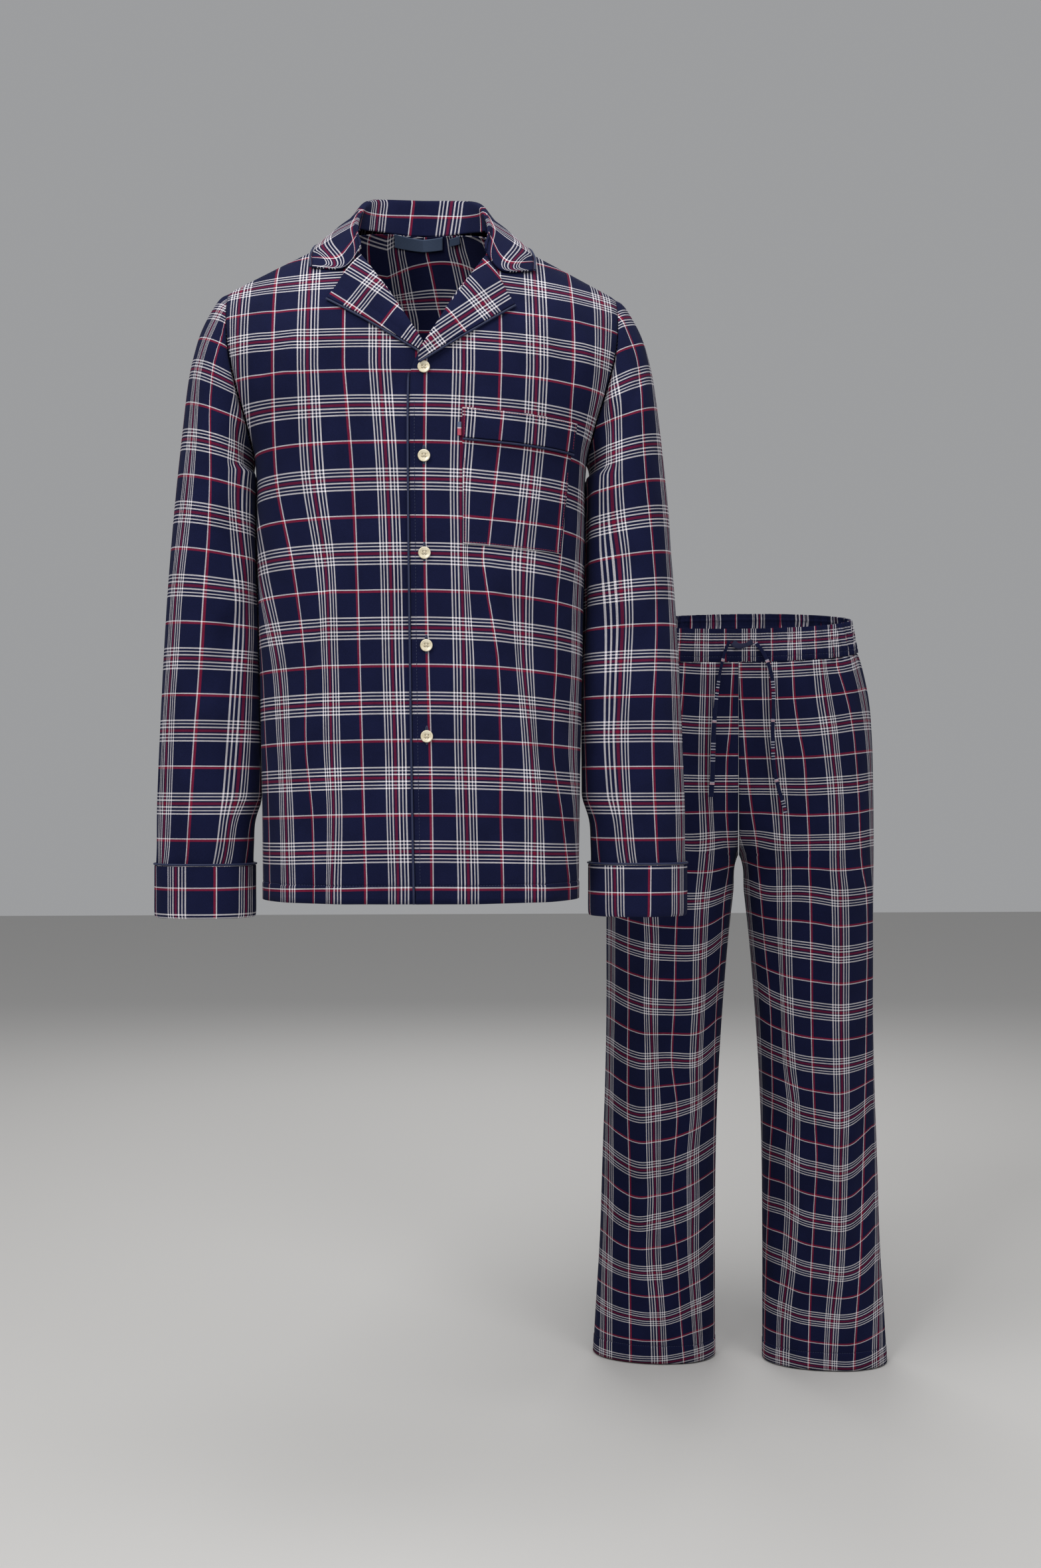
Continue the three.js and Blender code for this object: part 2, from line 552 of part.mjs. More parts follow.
// Collar: a stand that rises from the neck seam, rolls over and falls onto the shoulders
function collarRow(round, hand) {
  const read = (column) => readTable(COLLAR, column, round, 'round');
  const side = round < COLLAR_SHOULDER ? SIDE.back : SIDE.front;
  const neck = onBody(read('neckX'), read('neckZ'), side, COLLAR_SEAM_LIFT);
  const fold = new THREE.Vector3(read('foldX'), read('foldY'), read('foldZ'));
  const fall = onBody(read('fallX'), read('fallZ'), side, COLLAR_LIFT);
  const away = new THREE.Vector3(fall.x - fold.x, fall.y - fold.y, 0).normalize();
  const roll = COLLAR_ROLL * ease((fold.distanceTo(neck) + 4) / 30);
  const crest = fold.clone().addScaledVector(away, roll * 0.45).add(new THREE.Vector3(0, 0, roll * 0.3));
  const over = fold.clone().addScaledVector(away, roll);
  const notch = onBody(NOTCH.x, NOTCH.z, SIDE.front, COLLAR_LIFT);
  const drop = over.clone().lerp(fall, 0.5).add(new THREE.Vector3(0, 0, roll * 0.35));
  drop.lerp(notch, ease((round - NOTCH.from) / (1 - NOTCH.from)));
  const line = [neck, neck.clone().lerp(fold, 0.55), fold, crest, over, drop, fall];
  line.forEach((p) => { p.x *= hand; });
  return line;
}

function collarGrid() {
  const rows = [];
  for (let k = -COLLAR_STEPS; k <= COLLAR_STEPS; k += 1) {
    rows.push(collarRow(Math.abs(k) / COLLAR_STEPS, k < 0 ? HAND.right : HAND.left));
  }
  return rows;
}

// Lapel: the top of the front, turned back along the roll line. The left one's foot covers a button's top.
const LAPEL_ROWS = 6;
const LAPEL_COLUMNS = 5;

function lapelGrid(shape, hand) {
  const rows = [];
  for (let k = 0; k <= LAPEL_ROWS; k += 1) {
    const t = k / LAPEL_ROWS;
    const line = [];
    for (let j = 0; j <= LAPEL_COLUMNS; j += 1) {
      const s = j / LAPEL_COLUMNS;
      const x = mix(mix(shape.rollTop[0], shape.rollLow[0], t), mix(shape.tip[0], shape.low[0], t), s);
      const z = mix(mix(shape.rollTop[1], shape.rollLow[1], t), mix(shape.tip[1], shape.low[1], t), s);
      const roll = LAPEL_ROLL * Math.sin(Math.PI * Math.min(s * 1.4, 1)) * (1 - 0.6 * t);
      const lap = hand > 0 ? lapLift(x, z) + LAPEL_FOOT_RISE * ease(t * 1.6 - 0.6) : 0;
      line.push(onBody(hand * x, z, SIDE.front, LAPEL_LIFT + roll + lap));
    }
    rows.push(line);
  }
  return rows;
}

// Patch laid on the left front between two heights
function patchGrid(top, low, rows, lift) {
  const grid = [];
  for (let i = 0; i <= rows; i += 1) {
    const line = [];
    for (let j = 0; j <= POCKET_COLUMNS; j += 1) {
      const z = mix(low, top, i / rows);
      const t = (z - POCKET.low) / (POCKET.top - POCKET.low);
      const inX = mix(POCKET.lowIn, POCKET.topIn, t);
      const outX = mix(POCKET.lowOut, POCKET.topOut, t);
      const x = mix(inX, outX, j / POCKET_COLUMNS);
      const height = z - POCKET.slope * (x - POCKET.topIn);
      line.push(onBody(x, height, SIDE.front, lift + lapLift(x, height)));
    }
    grid.push(line);
  }
  return grid;
}

// Buttons: a dished disc with a rounded rim
function buttonGeometry() {
  const r = BUTTON_RADIUS;
  const profile = [
    [0, 0], [r * 0.85, 0], [r, 1.2], [r * 0.9, 2.4], [r * 0.6, 1.8], [0, 1.7],
  ].map(([x, y]) => new THREE.Vector2(x, y));
  const geometry = new THREE.LatheGeometry(profile, 12);
  geometry.deleteAttribute('normal');
  geometry.deleteAttribute('uv');
  const merged = mergeVertices(geometry, 1e-3);
  const kept = [];
  const index = merged.getIndex().array;
  for (let k = 0; k < index.length; k += 3) {
    const [a, b, c] = [index[k], index[k + 1], index[k + 2]];
    if (a !== b && b !== c && c !== a) kept.push(a, b, c);
  }
  return facingOut(Array.from(merged.getAttribute('position').array), kept);
}

function placeButton(spot, number) {
  const mesh = piece(`button_${number}`, buttonGeometry(), creamButton);
  const lift = lapLift(spot.x, spot.z) + BUTTON_STAND;
  const base = onBody(spot.x, spot.z, SIDE.front, lift);
  const facing = onBody(spot.x, spot.z, SIDE.front, lift + 1).sub(base);
  mesh.position.copy(base);
  mesh.quaternion.setFromUnitVectors(new THREE.Vector3(0, 1, 0), facing.normalize());
  return mesh;
}

// Trousers: how far the outer face stands from the plane through the side seams
function legSection(z) {
  const out = readTable(LEG, 'out', z);
  const inn = readTable(LEG, 'inn', z);
  return { middle: (out + inn) / 2, half: (out - inn) / 2 };
}

function legGrid(hand, side) {
  return LEG_LEVELS.map((level) => {
    const line = [];
    for (let j = 0; j <= LEG_COLUMNS; j += 1) {
      const even = j / LEG_COLUMNS;
      const tilt = (side < 0 ? -SEAM_DIP_FRONT : SEAM_RISE_BACK) * Math.sin((Math.PI / 2) * even);
      const z = level + tilt * ease((level - SEAM_FADE) / (SIDE_SEAM_TOP - SEAM_FADE));
      const { middle, half } = legSection(z);
      const stop = Math.max((SEAM_GAP - middle) / half, -1);
      const angle = Math.acos(Math.sign(stop) * Math.abs(stop) ** (LEG_SQUARENESS / 2)) * even;
      const power = 2 / LEG_SQUARENESS;
      const x = middle + half * Math.sign(Math.cos(angle)) * Math.abs(Math.cos(angle)) ** power;
      const round = Math.max(Math.sin(angle), 0) ** power;
      const depth = readTable(LEG, side < 0 ? 'front' : 'back', z) * round;
      const fold = foldHeight(LEG_FOLDS, side, x, z, hand) * round;
      const fade = ease((z - GATHER_FADE) / (SIDE_SEAM_TOP - GATHER_FADE)) * Math.sin(Math.PI * even) ** 2;
      const gather = GATHER_DEPTH * fade * Math.cos(2 * Math.PI * (GATHERS_A_PANEL * even + 0.13));
      line.push(new THREE.Vector3(hand * x, side * (depth + fold + gather + SEAM_GAP / 2), z));
    }
    return line;
  });
}

// Waistband: half of the gathered band, from side seam to side seam
function bandGrid(side) {
  const count = BAND_GATHERS * STEPS_A_GATHER;
  const levels = [0, 0.5, 1];
  return levels.map((up) => {
    const line = [];
    for (let j = 0; j <= count; j += 1) {
      const even = j / count;
      const angle = Math.PI * even;
      const swing = Math.sin(angle);
      const low = SIDE_SEAM_TOP + (side < 0 ? -SEAM_DIP_FRONT : SEAM_RISE_BACK) * swing + BAND_GAP;
      const high = BAND_TOP_SIDE + (side < 0 ? -BAND_DIP_FRONT : BAND_RISE_BACK) * swing;
      const z = mix(low, high, up);
      const puff = BAND_PUFF * Math.sin(Math.PI * (0.15 + 0.7 * up));
      const out = readTable(LEG, 'out', z) + puff;
      const deep = readTable(LEG, side < 0 ? 'front' : 'back', z) + puff;
      const power = 2 / LEG_SQUARENESS;
      const ruck = 2 * Math.PI * (BAND_GATHERS * even + 0.2 * Math.sin(9 * angle) + 0.12 * up);
      const grow = 1 + (BAND_GATHER_DEPTH * Math.sin(ruck) * Math.min(1, swing * 6)) / deep;
      const x = out * grow * Math.sign(Math.cos(angle)) * Math.abs(Math.cos(angle)) ** power;
      line.push(new THREE.Vector3(x, side * (deep * grow * swing ** power + SEAM_GAP / 2), z));
    }
    return line;
  });
}

function points(list) {
  return list.map(([x, y, z]) => new THREE.Vector3(x, y, z));
}

// Piping runs just outside the edge of a grid and level with the middle of its cloth
const PIPING_OFF = PIPING / 2 + 0.66;

function pipedEdge(grid, pick, sink) {
  const path = grid.map((line) => {
    const edge = line[pick];
    const inside = line[pick === 0 ? 1 : pick - 1];
    return edge.clone().addScaledVector(edge.clone().sub(inside).normalize(), PIPING_OFF);
  });
  return path.map((p) => p.add(sink));
}

function pipe(path) {
  return tube(path, PIPING, PIPING, PIPING_SIDES, path.length - 1);
}

// A flat label inside the back of the neck
function labelGrid(shape) {
  return [shape.low, shape.top].map((z) => {
    const line = [];
    for (let j = 0; j <= LABEL_STEPS; j += 1) {
      const x = mix(shape.inX, shape.outX, j / LABEL_STEPS);
      line.push(onBody(x, z, SIDE.back, -CLOTH - LABEL_INSET));
    }
    return line;
  });
}

const pyjamaSet = new THREE.Group();

// The jacket
const jacket = new THREE.Group();
pyjamaSet.add(jacket);

for (const [name, hand] of Object.entries(HAND)) {
  jacket.add(piece(`front_${name}`, clothWall(frontGrid(hand), CLOTH, bodyCore), checkedFlannel));
  const sleeve = clothWall(sleeveGrid(hand), CLOTH, sleeveCore(hand), true);
  jacket.add(piece(`sleeve_${name}`, sleeve, checkedFlannel));
  const cuffCore = (p) => new THREE.Vector3(hand * 238, -12, p.z);
  const cuff = clothWall(cuffGrid(hand), DOUBLE_CLOTH, cuffCore, true);
  jacket.add(piece(`cuff_${name}`, cuff, checkedFlannel));
  const lapel = lapelGrid(LAPEL[name], hand);
  jacket.add(piece(`lapel_${name}`, clothWall(lapel, DOUBLE_CLOTH, bodyCore), checkedFlannel));
  const outward = new THREE.Vector3(0, 1.1, 0);
  const lapelEdge = pipedEdge(lapel, LAPEL_COLUMNS, outward);
  jacket.add(piece(`piping_lapel_${name}`, pipe(lapelEdge), navyPiping));
  const cuffRim = cuffGrid(hand)[2];
  const cuffEdge = cuffRim.map((p) => p.clone().add(new THREE.Vector3(0, 0, PIPING_OFF)));
  const ringPath = cuffEdge.slice(CUFF_PIPING_START).concat(cuffEdge.slice(0, CUFF_PIPING_START));
  jacket.add(piece(`piping_cuff_${name}`, pipe(ringPath), navyPiping));
}
jacket.add(piece('back', clothWall(backGrid(), CLOTH, bodyCore), checkedFlannel));
const collar = collarGrid();
const collarCore = (p) => new THREE.Vector3(p.x * 1.1, p.y * 1.1, -20);
jacket.add(piece('collar', clothWall(collar, DOUBLE_CLOTH, collarCore), checkedFlannel));

const pocketBag = patchGrid(POCKET.top, POCKET.low, POCKET_ROWS, LAID_ON + CLOTH);
jacket.add(piece('pocket', clothWall(pocketBag, CLOTH, bodyCore), checkedFlannel));
const pocketBand = patchGrid(POCKET_BAND.top, POCKET_BAND.low, 1, 2 * LAID_ON + CLOTH + DOUBLE_CLOTH);
jacket.add(piece('pocket_band', clothWall(pocketBand, DOUBLE_CLOTH, bodyCore), checkedFlannel));
const bandFoot = POCKET_BAND.low - PIPING_OFF;
const bandEdge = patchGrid(bandFoot, bandFoot - 1, 1, 2 * LAID_ON + DOUBLE_CLOTH)[1];
jacket.add(piece('piping_pocket', pipe(bandEdge), navyPiping));
const tabGrid = [TAB.low, TAB.top].map((z) => [TAB.inX, TAB.outX].map((x) => (
  onBody(x, z, SIDE.front, TAB_LIFT + lapLift(x, z))
)));
jacket.add(piece('pocket_tab', clothWall(tabGrid, 1, bodyCore), wovenTab));
jacket.add(piece('neck_label', clothWall(labelGrid(NECK_LABEL), 1, bodyCore), navyLabel));
jacket.add(piece('size_tab', clothWall(labelGrid(SIZE_TAB), 1, bodyCore), navyLabel));
const frontEdge = frontGrid(HAND.left).slice(0, LOWER_ROWS + 3);
jacket.add(piece('piping_front', pipe(pipedEdge(frontEdge, 0, new THREE.Vector3(0, 0.2, 0))), navyPiping));
jacket.add(piece('piping_collar', pipe(pipedEdge(collar, 6, new THREE.Vector3(0, 0, 0))), navyPiping));
BUTTONS.forEach((spot, k) => jacket.add(placeButton(spot, k + 1)));

// The trousers
const trousers = new THREE.Group();
trousers.position.set(TROUSERS_X, TROUSERS_Y, 0);
trousers.rotation.z = THREE.MathUtils.degToRad(TROUSERS_TURN);
pyjamaSet.add(trousers);

const legCore = (hand) => (p) => new THREE.Vector3(hand * Math.max(legSection(p.z).middle, 0), 0, p.z);
for (const [handName, hand] of Object.entries(HAND)) {
  for (const [sideName, side] of Object.entries(SIDE)) {
    const solid = clothWall(legGrid(hand, side), CLOTH, legCore(hand));
    trousers.add(piece(`leg_${sideName}_${handName}`, solid, checkedFlannel));
  }
}
for (const [name, side] of Object.entries(SIDE)) {
  const solid = clothWall(bandGrid(side), ELASTIC_BAND, (p) => new THREE.Vector3(0, 0, p.z));
  trousers.add(piece(`waistband_${name}`, solid, checkedFlannel));
}
const bow = tube(points(BOW), BOW_WIDTH, BOW_THICKNESS, TIE_SIDES, BOW_STEPS);
trousers.add(piece('drawstring_bow', bow, checkedFlannel));
for (const [name, path] of Object.entries({ left: TIE_LEFT, right: TIE_RIGHT })) {
  const tie = tube(points(path), TIE_WIDTH, TIE_THICKNESS, TIE_SIDES, TIE_STEPS);
  trousers.add(piece(`drawstring_${name}`, tie, checkedFlannel));
}

export default pyjamaSet;
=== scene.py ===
# A pyjama set in checked flannel: a jacket with a notched collar, and drawstring trousers behind it.
# Lengths in the tables are millimetres and become metres when a piece is made. +Z is up and the wearer
# faces -Y, so the wearer's left is on +X. The script runs from top to bottom, a section for each piece.
import math

import bmesh
import bpy
import numpy as np
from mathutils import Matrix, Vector


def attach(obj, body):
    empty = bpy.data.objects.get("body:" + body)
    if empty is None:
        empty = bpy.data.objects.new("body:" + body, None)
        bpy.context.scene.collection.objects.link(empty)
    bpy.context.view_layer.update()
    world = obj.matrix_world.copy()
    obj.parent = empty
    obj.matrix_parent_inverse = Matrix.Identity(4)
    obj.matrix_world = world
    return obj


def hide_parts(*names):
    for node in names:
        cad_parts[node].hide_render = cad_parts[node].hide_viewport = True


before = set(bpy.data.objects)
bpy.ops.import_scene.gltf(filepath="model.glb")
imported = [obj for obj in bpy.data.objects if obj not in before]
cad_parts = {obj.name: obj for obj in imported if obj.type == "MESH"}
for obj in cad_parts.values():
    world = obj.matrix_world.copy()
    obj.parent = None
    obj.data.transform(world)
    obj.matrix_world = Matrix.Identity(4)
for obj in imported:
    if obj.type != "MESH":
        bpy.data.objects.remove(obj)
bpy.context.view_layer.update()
MM = 0.001


# Camera
# Level with the middle of the set, turned a little towards the trousers, as the photograph looks.
camera_data = bpy.data.cameras.new("camera")
camera_data.sensor_width = 36
camera_data.lens = 40.56
camera = bpy.data.objects.new("camera", camera_data)
bpy.context.scene.collection.objects.link(camera)
camera.location = (0, -1.965, -0.595)
camera.rotation_euler = (math.radians(90), 0, math.radians(-3.16))
bpy.context.scene.camera = camera


# Drawstring
# A flat tie of the trousers' own cloth. It crosses itself at the front of the waistband and both ends
# hang free, cut bare. It is cut between two upright lines, so only the check's cross lines show.
TROUSERS_AT = (446, 514, 0)
TROUSERS_TURN = math.radians(-10.2)
NAVY = (0.0068, 0.0088, 0.034, 1)
WHITE = (0.79, 0.755, 0.79, 1)
BURGUNDY = (0.18, 0.008, 0.03, 1)
RED = (0.26, 0.009, 0.028, 1)


def turned(points, angle):
    """Points turned about the upright axis."""
    c, s = math.cos(angle), math.sin(angle)
    x, y = points[..., 0], points[..., 1]
    return np.stack([c * x - s * y, s * x + c * y, points[..., 2]], -1)


def in_set(points):
    """Points of the trousers' own frame, turned and placed in the set's frame."""
    return turned(np.asarray(points, float), TROUSERS_TURN) + np.array(TROUSERS_AT)


def curve(a, b, c, d, t):
    """A smooth curve from b to c, with a before and d after them."""
    return 0.5 * (2 * b + (c - a) * t + (2 * a - 5 * b + 4 * c - d) * t**2 + (3 * b - a - 3 * c + d) * t**3)


def smooth_line(points, steps):
    """A smooth line through the points, with steps samples between one point and the next."""
    p = np.asarray(points, float)
    ends = np.concatenate([[2 * p[0] - p[1]], p, [2 * p[-1] - p[-2]]])
    t = np.linspace(0, 1, steps, endpoint=False)[:, None]
    rows = [curve(*four, t) for four in zip(ends[:-3], ends[1:-2], ends[2:-1], ends[3:])]
    return np.concatenate([*rows, p[-1:]])


def arc(points, axis=1):
    """Distance along the grid's lines from their first point."""
    steps = np.linalg.norm(np.diff(points, axis=axis), axis=-1)
    start = np.zeros_like(np.take(steps, [0], axis))
    return np.concatenate([start, np.cumsum(steps, axis)], axis)


def unit(v):
    return v / np.maximum(np.linalg.norm(v, axis=-1, keepdims=True), 1e-9)


def add_piece(name, mesh, material):
    """An object of that mesh and material that rides on the garment."""
    piece = bpy.data.objects.new(name, mesh)
    bpy.context.scene.collection.objects.link(piece)
    mesh.materials.append(material)
    mesh.polygons.foreach_set("use_smooth", np.ones(len(mesh.polygons), bool))
    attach(piece, "root")
    return piece


def quads_mesh(name, points, faces, uvs):
    """A mesh of four-sided faces, from points in millimetres and a UV for every corner."""
    mesh = bpy.data.meshes.new(name)
    mesh.from_pydata((np.asarray(points) * MM).tolist(), [], np.asarray(faces).tolist())
    layer = mesh.uv_layers.new(name="cloth")
    layer.data.foreach_set("uv", np.asarray(uvs, np.float32).reshape(-1))
    mesh.update()
    return mesh


def ribbon(name, line, width, thickness, sides, material, face=(0, -1, 0)):
    """A flat or round strip along a line; its second UV is the distance along it in millimetres. Its
    width is one number, or one for each point of the line."""
    line = np.asarray(line, float)
    half = np.broadcast_to(np.asarray(width, float), len(line))[:, None, None] / 2
    along = unit(np.gradient(line, axis=0))
    flat = unit(np.cross(along, np.broadcast_to(np.array(face, float), line.shape)))
    out = np.cross(flat, along)
    angle = np.linspace(0, 2 * np.pi, sides, endpoint=False)
    power = 2 / 3.2 if half.mean() > 0.75 * thickness else 1
    c = np.sign(np.cos(angle)) * np.abs(np.cos(angle)) ** power
    s = np.sign(np.sin(angle)) * np.abs(np.sin(angle)) ** power
    rows = line[:, None] + flat[:, None] * c[:, None] * half + out[:, None] * s[:, None] * thickness / 2
    run = arc(line, 0)
    n = len(line)
    points = np.concatenate([rows.reshape(-1, 3), line[:1], line[-1:]])
    faces, uvs = [], []
    for i in range(n - 1):
        for j in range(sides):
            k = (j + 1) % sides
            faces.append([i * sides + j, i * sides + k, (i + 1) * sides + k, (i + 1) * sides + j])
            u0, u1 = j / sides, (j + 1) / sides
            uvs.append([[u0, run[i]], [u1, run[i]], [u1, run[i + 1]], [u0, run[i + 1]]])
    for end, centre in ((0, n * sides), (n - 1, n * sides + 1)):
        for j in range(0, sides, 2):
            k, m = (j + 1) % sides, (j + 2) % sides
            faces.append([end * sides + m, end * sides + k, end * sides + j, centre])
            uvs.append([[0.5, run[end]]] * 4)
    return add_piece(name, quads_mesh(name, points, faces, uvs), material)


def node_tools(material):
    """Shorthand for building a material: the shader, a function that adds a node, and one that links."""
    tree = material.node_tree

    def node(kind, inputs=(), **settings):
        made = tree.nodes.new("ShaderNode" + kind)
        for key, value in settings.items():
            setattr(made, key, value)
        set_inputs(made, inputs)
        return made

    return tree.nodes["Principled BSDF"], node, tree.links.new


def set_inputs(node, inputs):
    """Give a node's inputs their values, from pairs of a name and a value."""
    for key, value in inputs:
        node.inputs[key].default_value = value


def new_material(name):
    material = bpy.data.materials.new(name)
    material.use_nodes = True
    return material


def cloth_place(node, link):
    """The two coordinates of the UV layer that every cloth mesh has."""
    uv = node("UVMap", uv_map="cloth")
    split = node("SeparateXYZ")
    link(uv.outputs["UV"], split.inputs[0])
    return uv, split


def noise(node, link, scale, detail=2):
    """Even noise fixed to the object."""
    place = node("TexCoord")
    made = node("TexNoise", [("Scale", scale), ("Detail", detail)])
    link(place.outputs["Object"], made.inputs["Vector"])
    return made.outputs["Fac"]


def spread_of(node, link, value, low, high):
    """The middle of a noise, spread between two values."""
    made = node("MapRange", [("From Min", 0.3), ("From Max", 0.7), ("To Min", low), ("To Max", high)])
    link(value, made.inputs["Value"])
    return made.outputs["Result"]


def bump(node, link, height, strength, distance, below=None):
    made = node("Bump", [("Strength", strength), ("Distance", distance)])
    link(height, made.inputs["Height"])
    if below:
        link(below, made.inputs["Normal"])
    return made.outputs["Normal"]


def shades(node, link, value, dark, light):
    """A colour between two, by that value."""
    made = node("ValToRGB")
    made.color_ramp.elements[0].color = dark
    made.color_ramp.elements[1].color = light
    link(value, made.inputs["Fac"])
    return made.outputs["Color"]


def twill(node, link, uv, pitch, distortion):
    """Slanting ribs of the weave."""
    turn = node("Mapping", [("Rotation", (0, 0, math.radians(45))), ("Scale", (pitch, pitch, pitch))])
    link(uv.outputs["UV"], turn.inputs["Vector"])
    values = [("Scale", 1), ("Distortion", distortion), ("Detail", 2)]
    ribs = node("TexWave", values, wave_type="BANDS", bands_direction="X")
    link(turn.outputs["Vector"], ribs.inputs["Vector"])
    return ribs.outputs["Fac"]


def stripes(node, stops):
    """A ramp with hard edges: each stop is where a colour begins."""
    ramp = node("ValToRGB")
    ramp.color_ramp.interpolation = "CONSTANT"
    elements = ramp.color_ramp.elements
    while len(elements) > 1:
        elements.remove(elements[-1])
    elements[0].position = 0
    elements[0].color = stops[0][1]
    for position, colour in stops[1:]:
        elements.new(position).color = colour
    return ramp


def add_weave(shader, node, link, uv, base, pitch, depth, nap):
    """Twill weave and raised nap as relief, with the slight unevenness of brushed yarn in the colour."""
    ribs = twill(node, link, uv, pitch, 1.2)
    fuzz = noise(node, link, 900, 3)
    cloud = noise(node, link, 26, 3)
    both = node("Math", operation="MULTIPLY")
    link(spread_of(node, link, cloud, 0.86, 1.1), both.inputs[0])
    link(spread_of(node, link, fuzz, 1 - nap, 1 + nap), both.inputs[1])
    shade = node("VectorMath", operation="SCALE")
    link(base, shade.inputs[0])
    link(both.outputs["Value"], shade.inputs["Scale"])
    link(shade.outputs["Vector"], shader.inputs["Base Color"])
    relief = bump(node, link, ribs, depth, 0.0004)
    relief = bump(node, link, fuzz, depth * 0.7, 0.0005, relief)
    relief = bump(node, link, cloud, 0.16, 0.006, relief)
    link(relief, shader.inputs["Normal"])


def cloth_finish(shader, sheen):
    set_inputs(shader, [
        ("Roughness", 0.88), ("Specular IOR Level", 0.06), ("Sheen Weight", sheen), ("Sheen Roughness", 0.45),
        ("Sheen Tint", (0.55, 0.6, 0.8, 1)),
    ])


# The check, in shares of its repeat: where the bar lies, how far from it the white lines lie, and half the
# width of a white line and of the bar. Each of the thin pair has a place and half a width.
BAR_AT = 0.25
GROUP = [0.0467, 0.0945, 0.1408]
WHITE_HALF = 0.0081
BAR_HALF = 0.0175
THIN_WHITE = (0.7365, 0.0095)
THIN_RED = (0.7605, 0.0145)


def check_stops(ground, white, bar, red):
    """Where each colour of the repeat begins, with the bar at a quarter and the thin pair at three."""
    bars = [(BAR_AT, BAR_HALF, bar), (*THIN_WHITE, white), (*THIN_RED, red)]
    for offset in GROUP:
        bars += [(BAR_AT - offset, WHITE_HALF, white), (BAR_AT + offset, WHITE_HALF, white)]
    bars.sort(key=lambda stop: stop[0])
    stops = [(0, ground)]
    for centre, half, colour in bars:
        if abs(stops[-1][0] - (centre - half)) < 1e-3:
            stops.pop()
        stops += [(centre - half, colour), (centre + half, ground)]
    return stops


def tie_material(name, first, period):
    """A strip cut along the check: cross lines only, with the first bar and the repeat in millimetres."""
    material = new_material(name)
    shader, node, link = node_tools(material)
    uv, split = cloth_place(node, link)
    share = node("Math", [(1, 1 / period), (2, BAR_AT - first / period)], operation="MULTIPLY_ADD")
    link(split.outputs["Y"], share.inputs[0])
    turn = node("Math", operation="FRACT")
    link(share.outputs["Value"], turn.inputs[0])
    ramp = stripes(node, check_stops(TIE_NAVY, MIXED_WHITE, MIXED_BURGUNDY, PINK_WHITE))
    link(turn.outputs["Value"], ramp.inputs["Fac"])
    add_weave(shader, node, link, uv, ramp.outputs["Color"], 3.0, 0.5, 0.25)
    cloth_finish(shader, 0.06)
    return material


BOW = [[18.5, -117, -403], [11, -118, -407], [0, -118.3, -409], [-8, -117.6, -404]]
TIE_LEFT = [
    [23.1, -116.6, -405], [31, -119, -415], [38.5, -120.7, -430], [43, -121.5, -444], [45.7, -121.8, -460],
    [46.6, -122, -474], [46.6, -122.3, -488], [46, -122.5, -502], [45.7, -122.5, -516], [45.5, -122.3, -530],
    [45.8, -122, -545], [46.4, -121.6, -560], [48, -121, -575], [51, -120.4, -591], [55.5, -119.6, -608],
    [60, -118.6, -622], [62.6, -117.8, -635],
]
TIE_RIGHT = [
    [-12.2, -116.6, -402], [-17, -119, -413], [-21.5, -120.8, -429], [-25, -121.8, -446], [-27.8, -122, -464],
    [-30, -122.2, -482], [-31.6, -122.4, -500], [-32.8, -122.4, -516], [-33.6, -122.4, -532],
    [-34.1, -122.2, -548], [-34.5, -121.8, -563], [-34.8, -121.4, -578], [-35.4, -121, -592],
    [-36.9, -120.2, -612.5],
]
TIE_NAVY = (0.0095, 0.0125, 0.044, 1)
MIXED_WHITE = (0.42, 0.42, 0.5, 1)
MIXED_BURGUNDY = (0.16, 0.014, 0.045, 1)
PINK_WHITE = (0.5, 0.33, 0.38, 1)
TIE_FACE = (0.18, -0.98, 0)
# hand, path, the ends' widths, first bar and repeat
TIES = [
    ("left", TIE_LEFT, (5.4, 5.4), 69.7, 81),
    ("right", TIE_RIGHT, (4.2, 7), 69.2, 83.6),
]
for hand, path, (top, low), first, period in TIES:
    route = in_set(smooth_line(path, 8))
    width = np.interp(np.linspace(0, 1, len(route)), [0, 0.25, 0.6, 1], [top, top, low, low])
    made_of = tie_material(f"tie_{hand}", first, period)
    tie = ribbon(f"tie_{hand}", route, width, 1.5, 16, made_of, face=TIE_FACE)
    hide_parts(f"drawstring_{hand}")
    length = float(arc(route, 0)[-1]) * MM


# Flannel
# Brushed cotton twill with a navy ground. Each repeat has three white lines, a burgundy bar and three
# white lines, and halfway a thin white and red pair, both ways; crossing yarns mix half and half.
def flannel_material(name):
    material = new_material(name)
    shader, node, link = node_tools(material)
    uv, split = cloth_place(node, link)
    yarns = []
    for axis in ("X", "Y"):
        shift = node("Math", [(1, BAR_AT)], operation="ADD")
        part = node("Math", operation="FRACT")
        ramp = stripes(node, check_stops(NAVY, WHITE, BURGUNDY, RED))
        link(split.outputs[axis], shift.inputs[0])
        link(shift.outputs["Value"], part.inputs[0])
        link(part.outputs["Value"], ramp.inputs["Fac"])
        yarns.append(ramp.outputs["Color"])
    share = node("MapRange", [("To Min", 0.3), ("To Max", 0.7)])
    link(twill(node, link, uv, 26, 0), share.inputs["Value"])
    mixed = node("Mix", data_type="RGBA")
    link(share.outputs["Result"], mixed.inputs["Factor"])
    link(yarns[0], mixed.inputs[6])
    link(yarns[1], mixed.inputs[7])
    add_weave(shader, node, link, uv, mixed.outputs[2], 26, 0.4, 0.14)
    cloth_finish(shader, 0.03)
    return material


flannel = flannel_material("flannel")


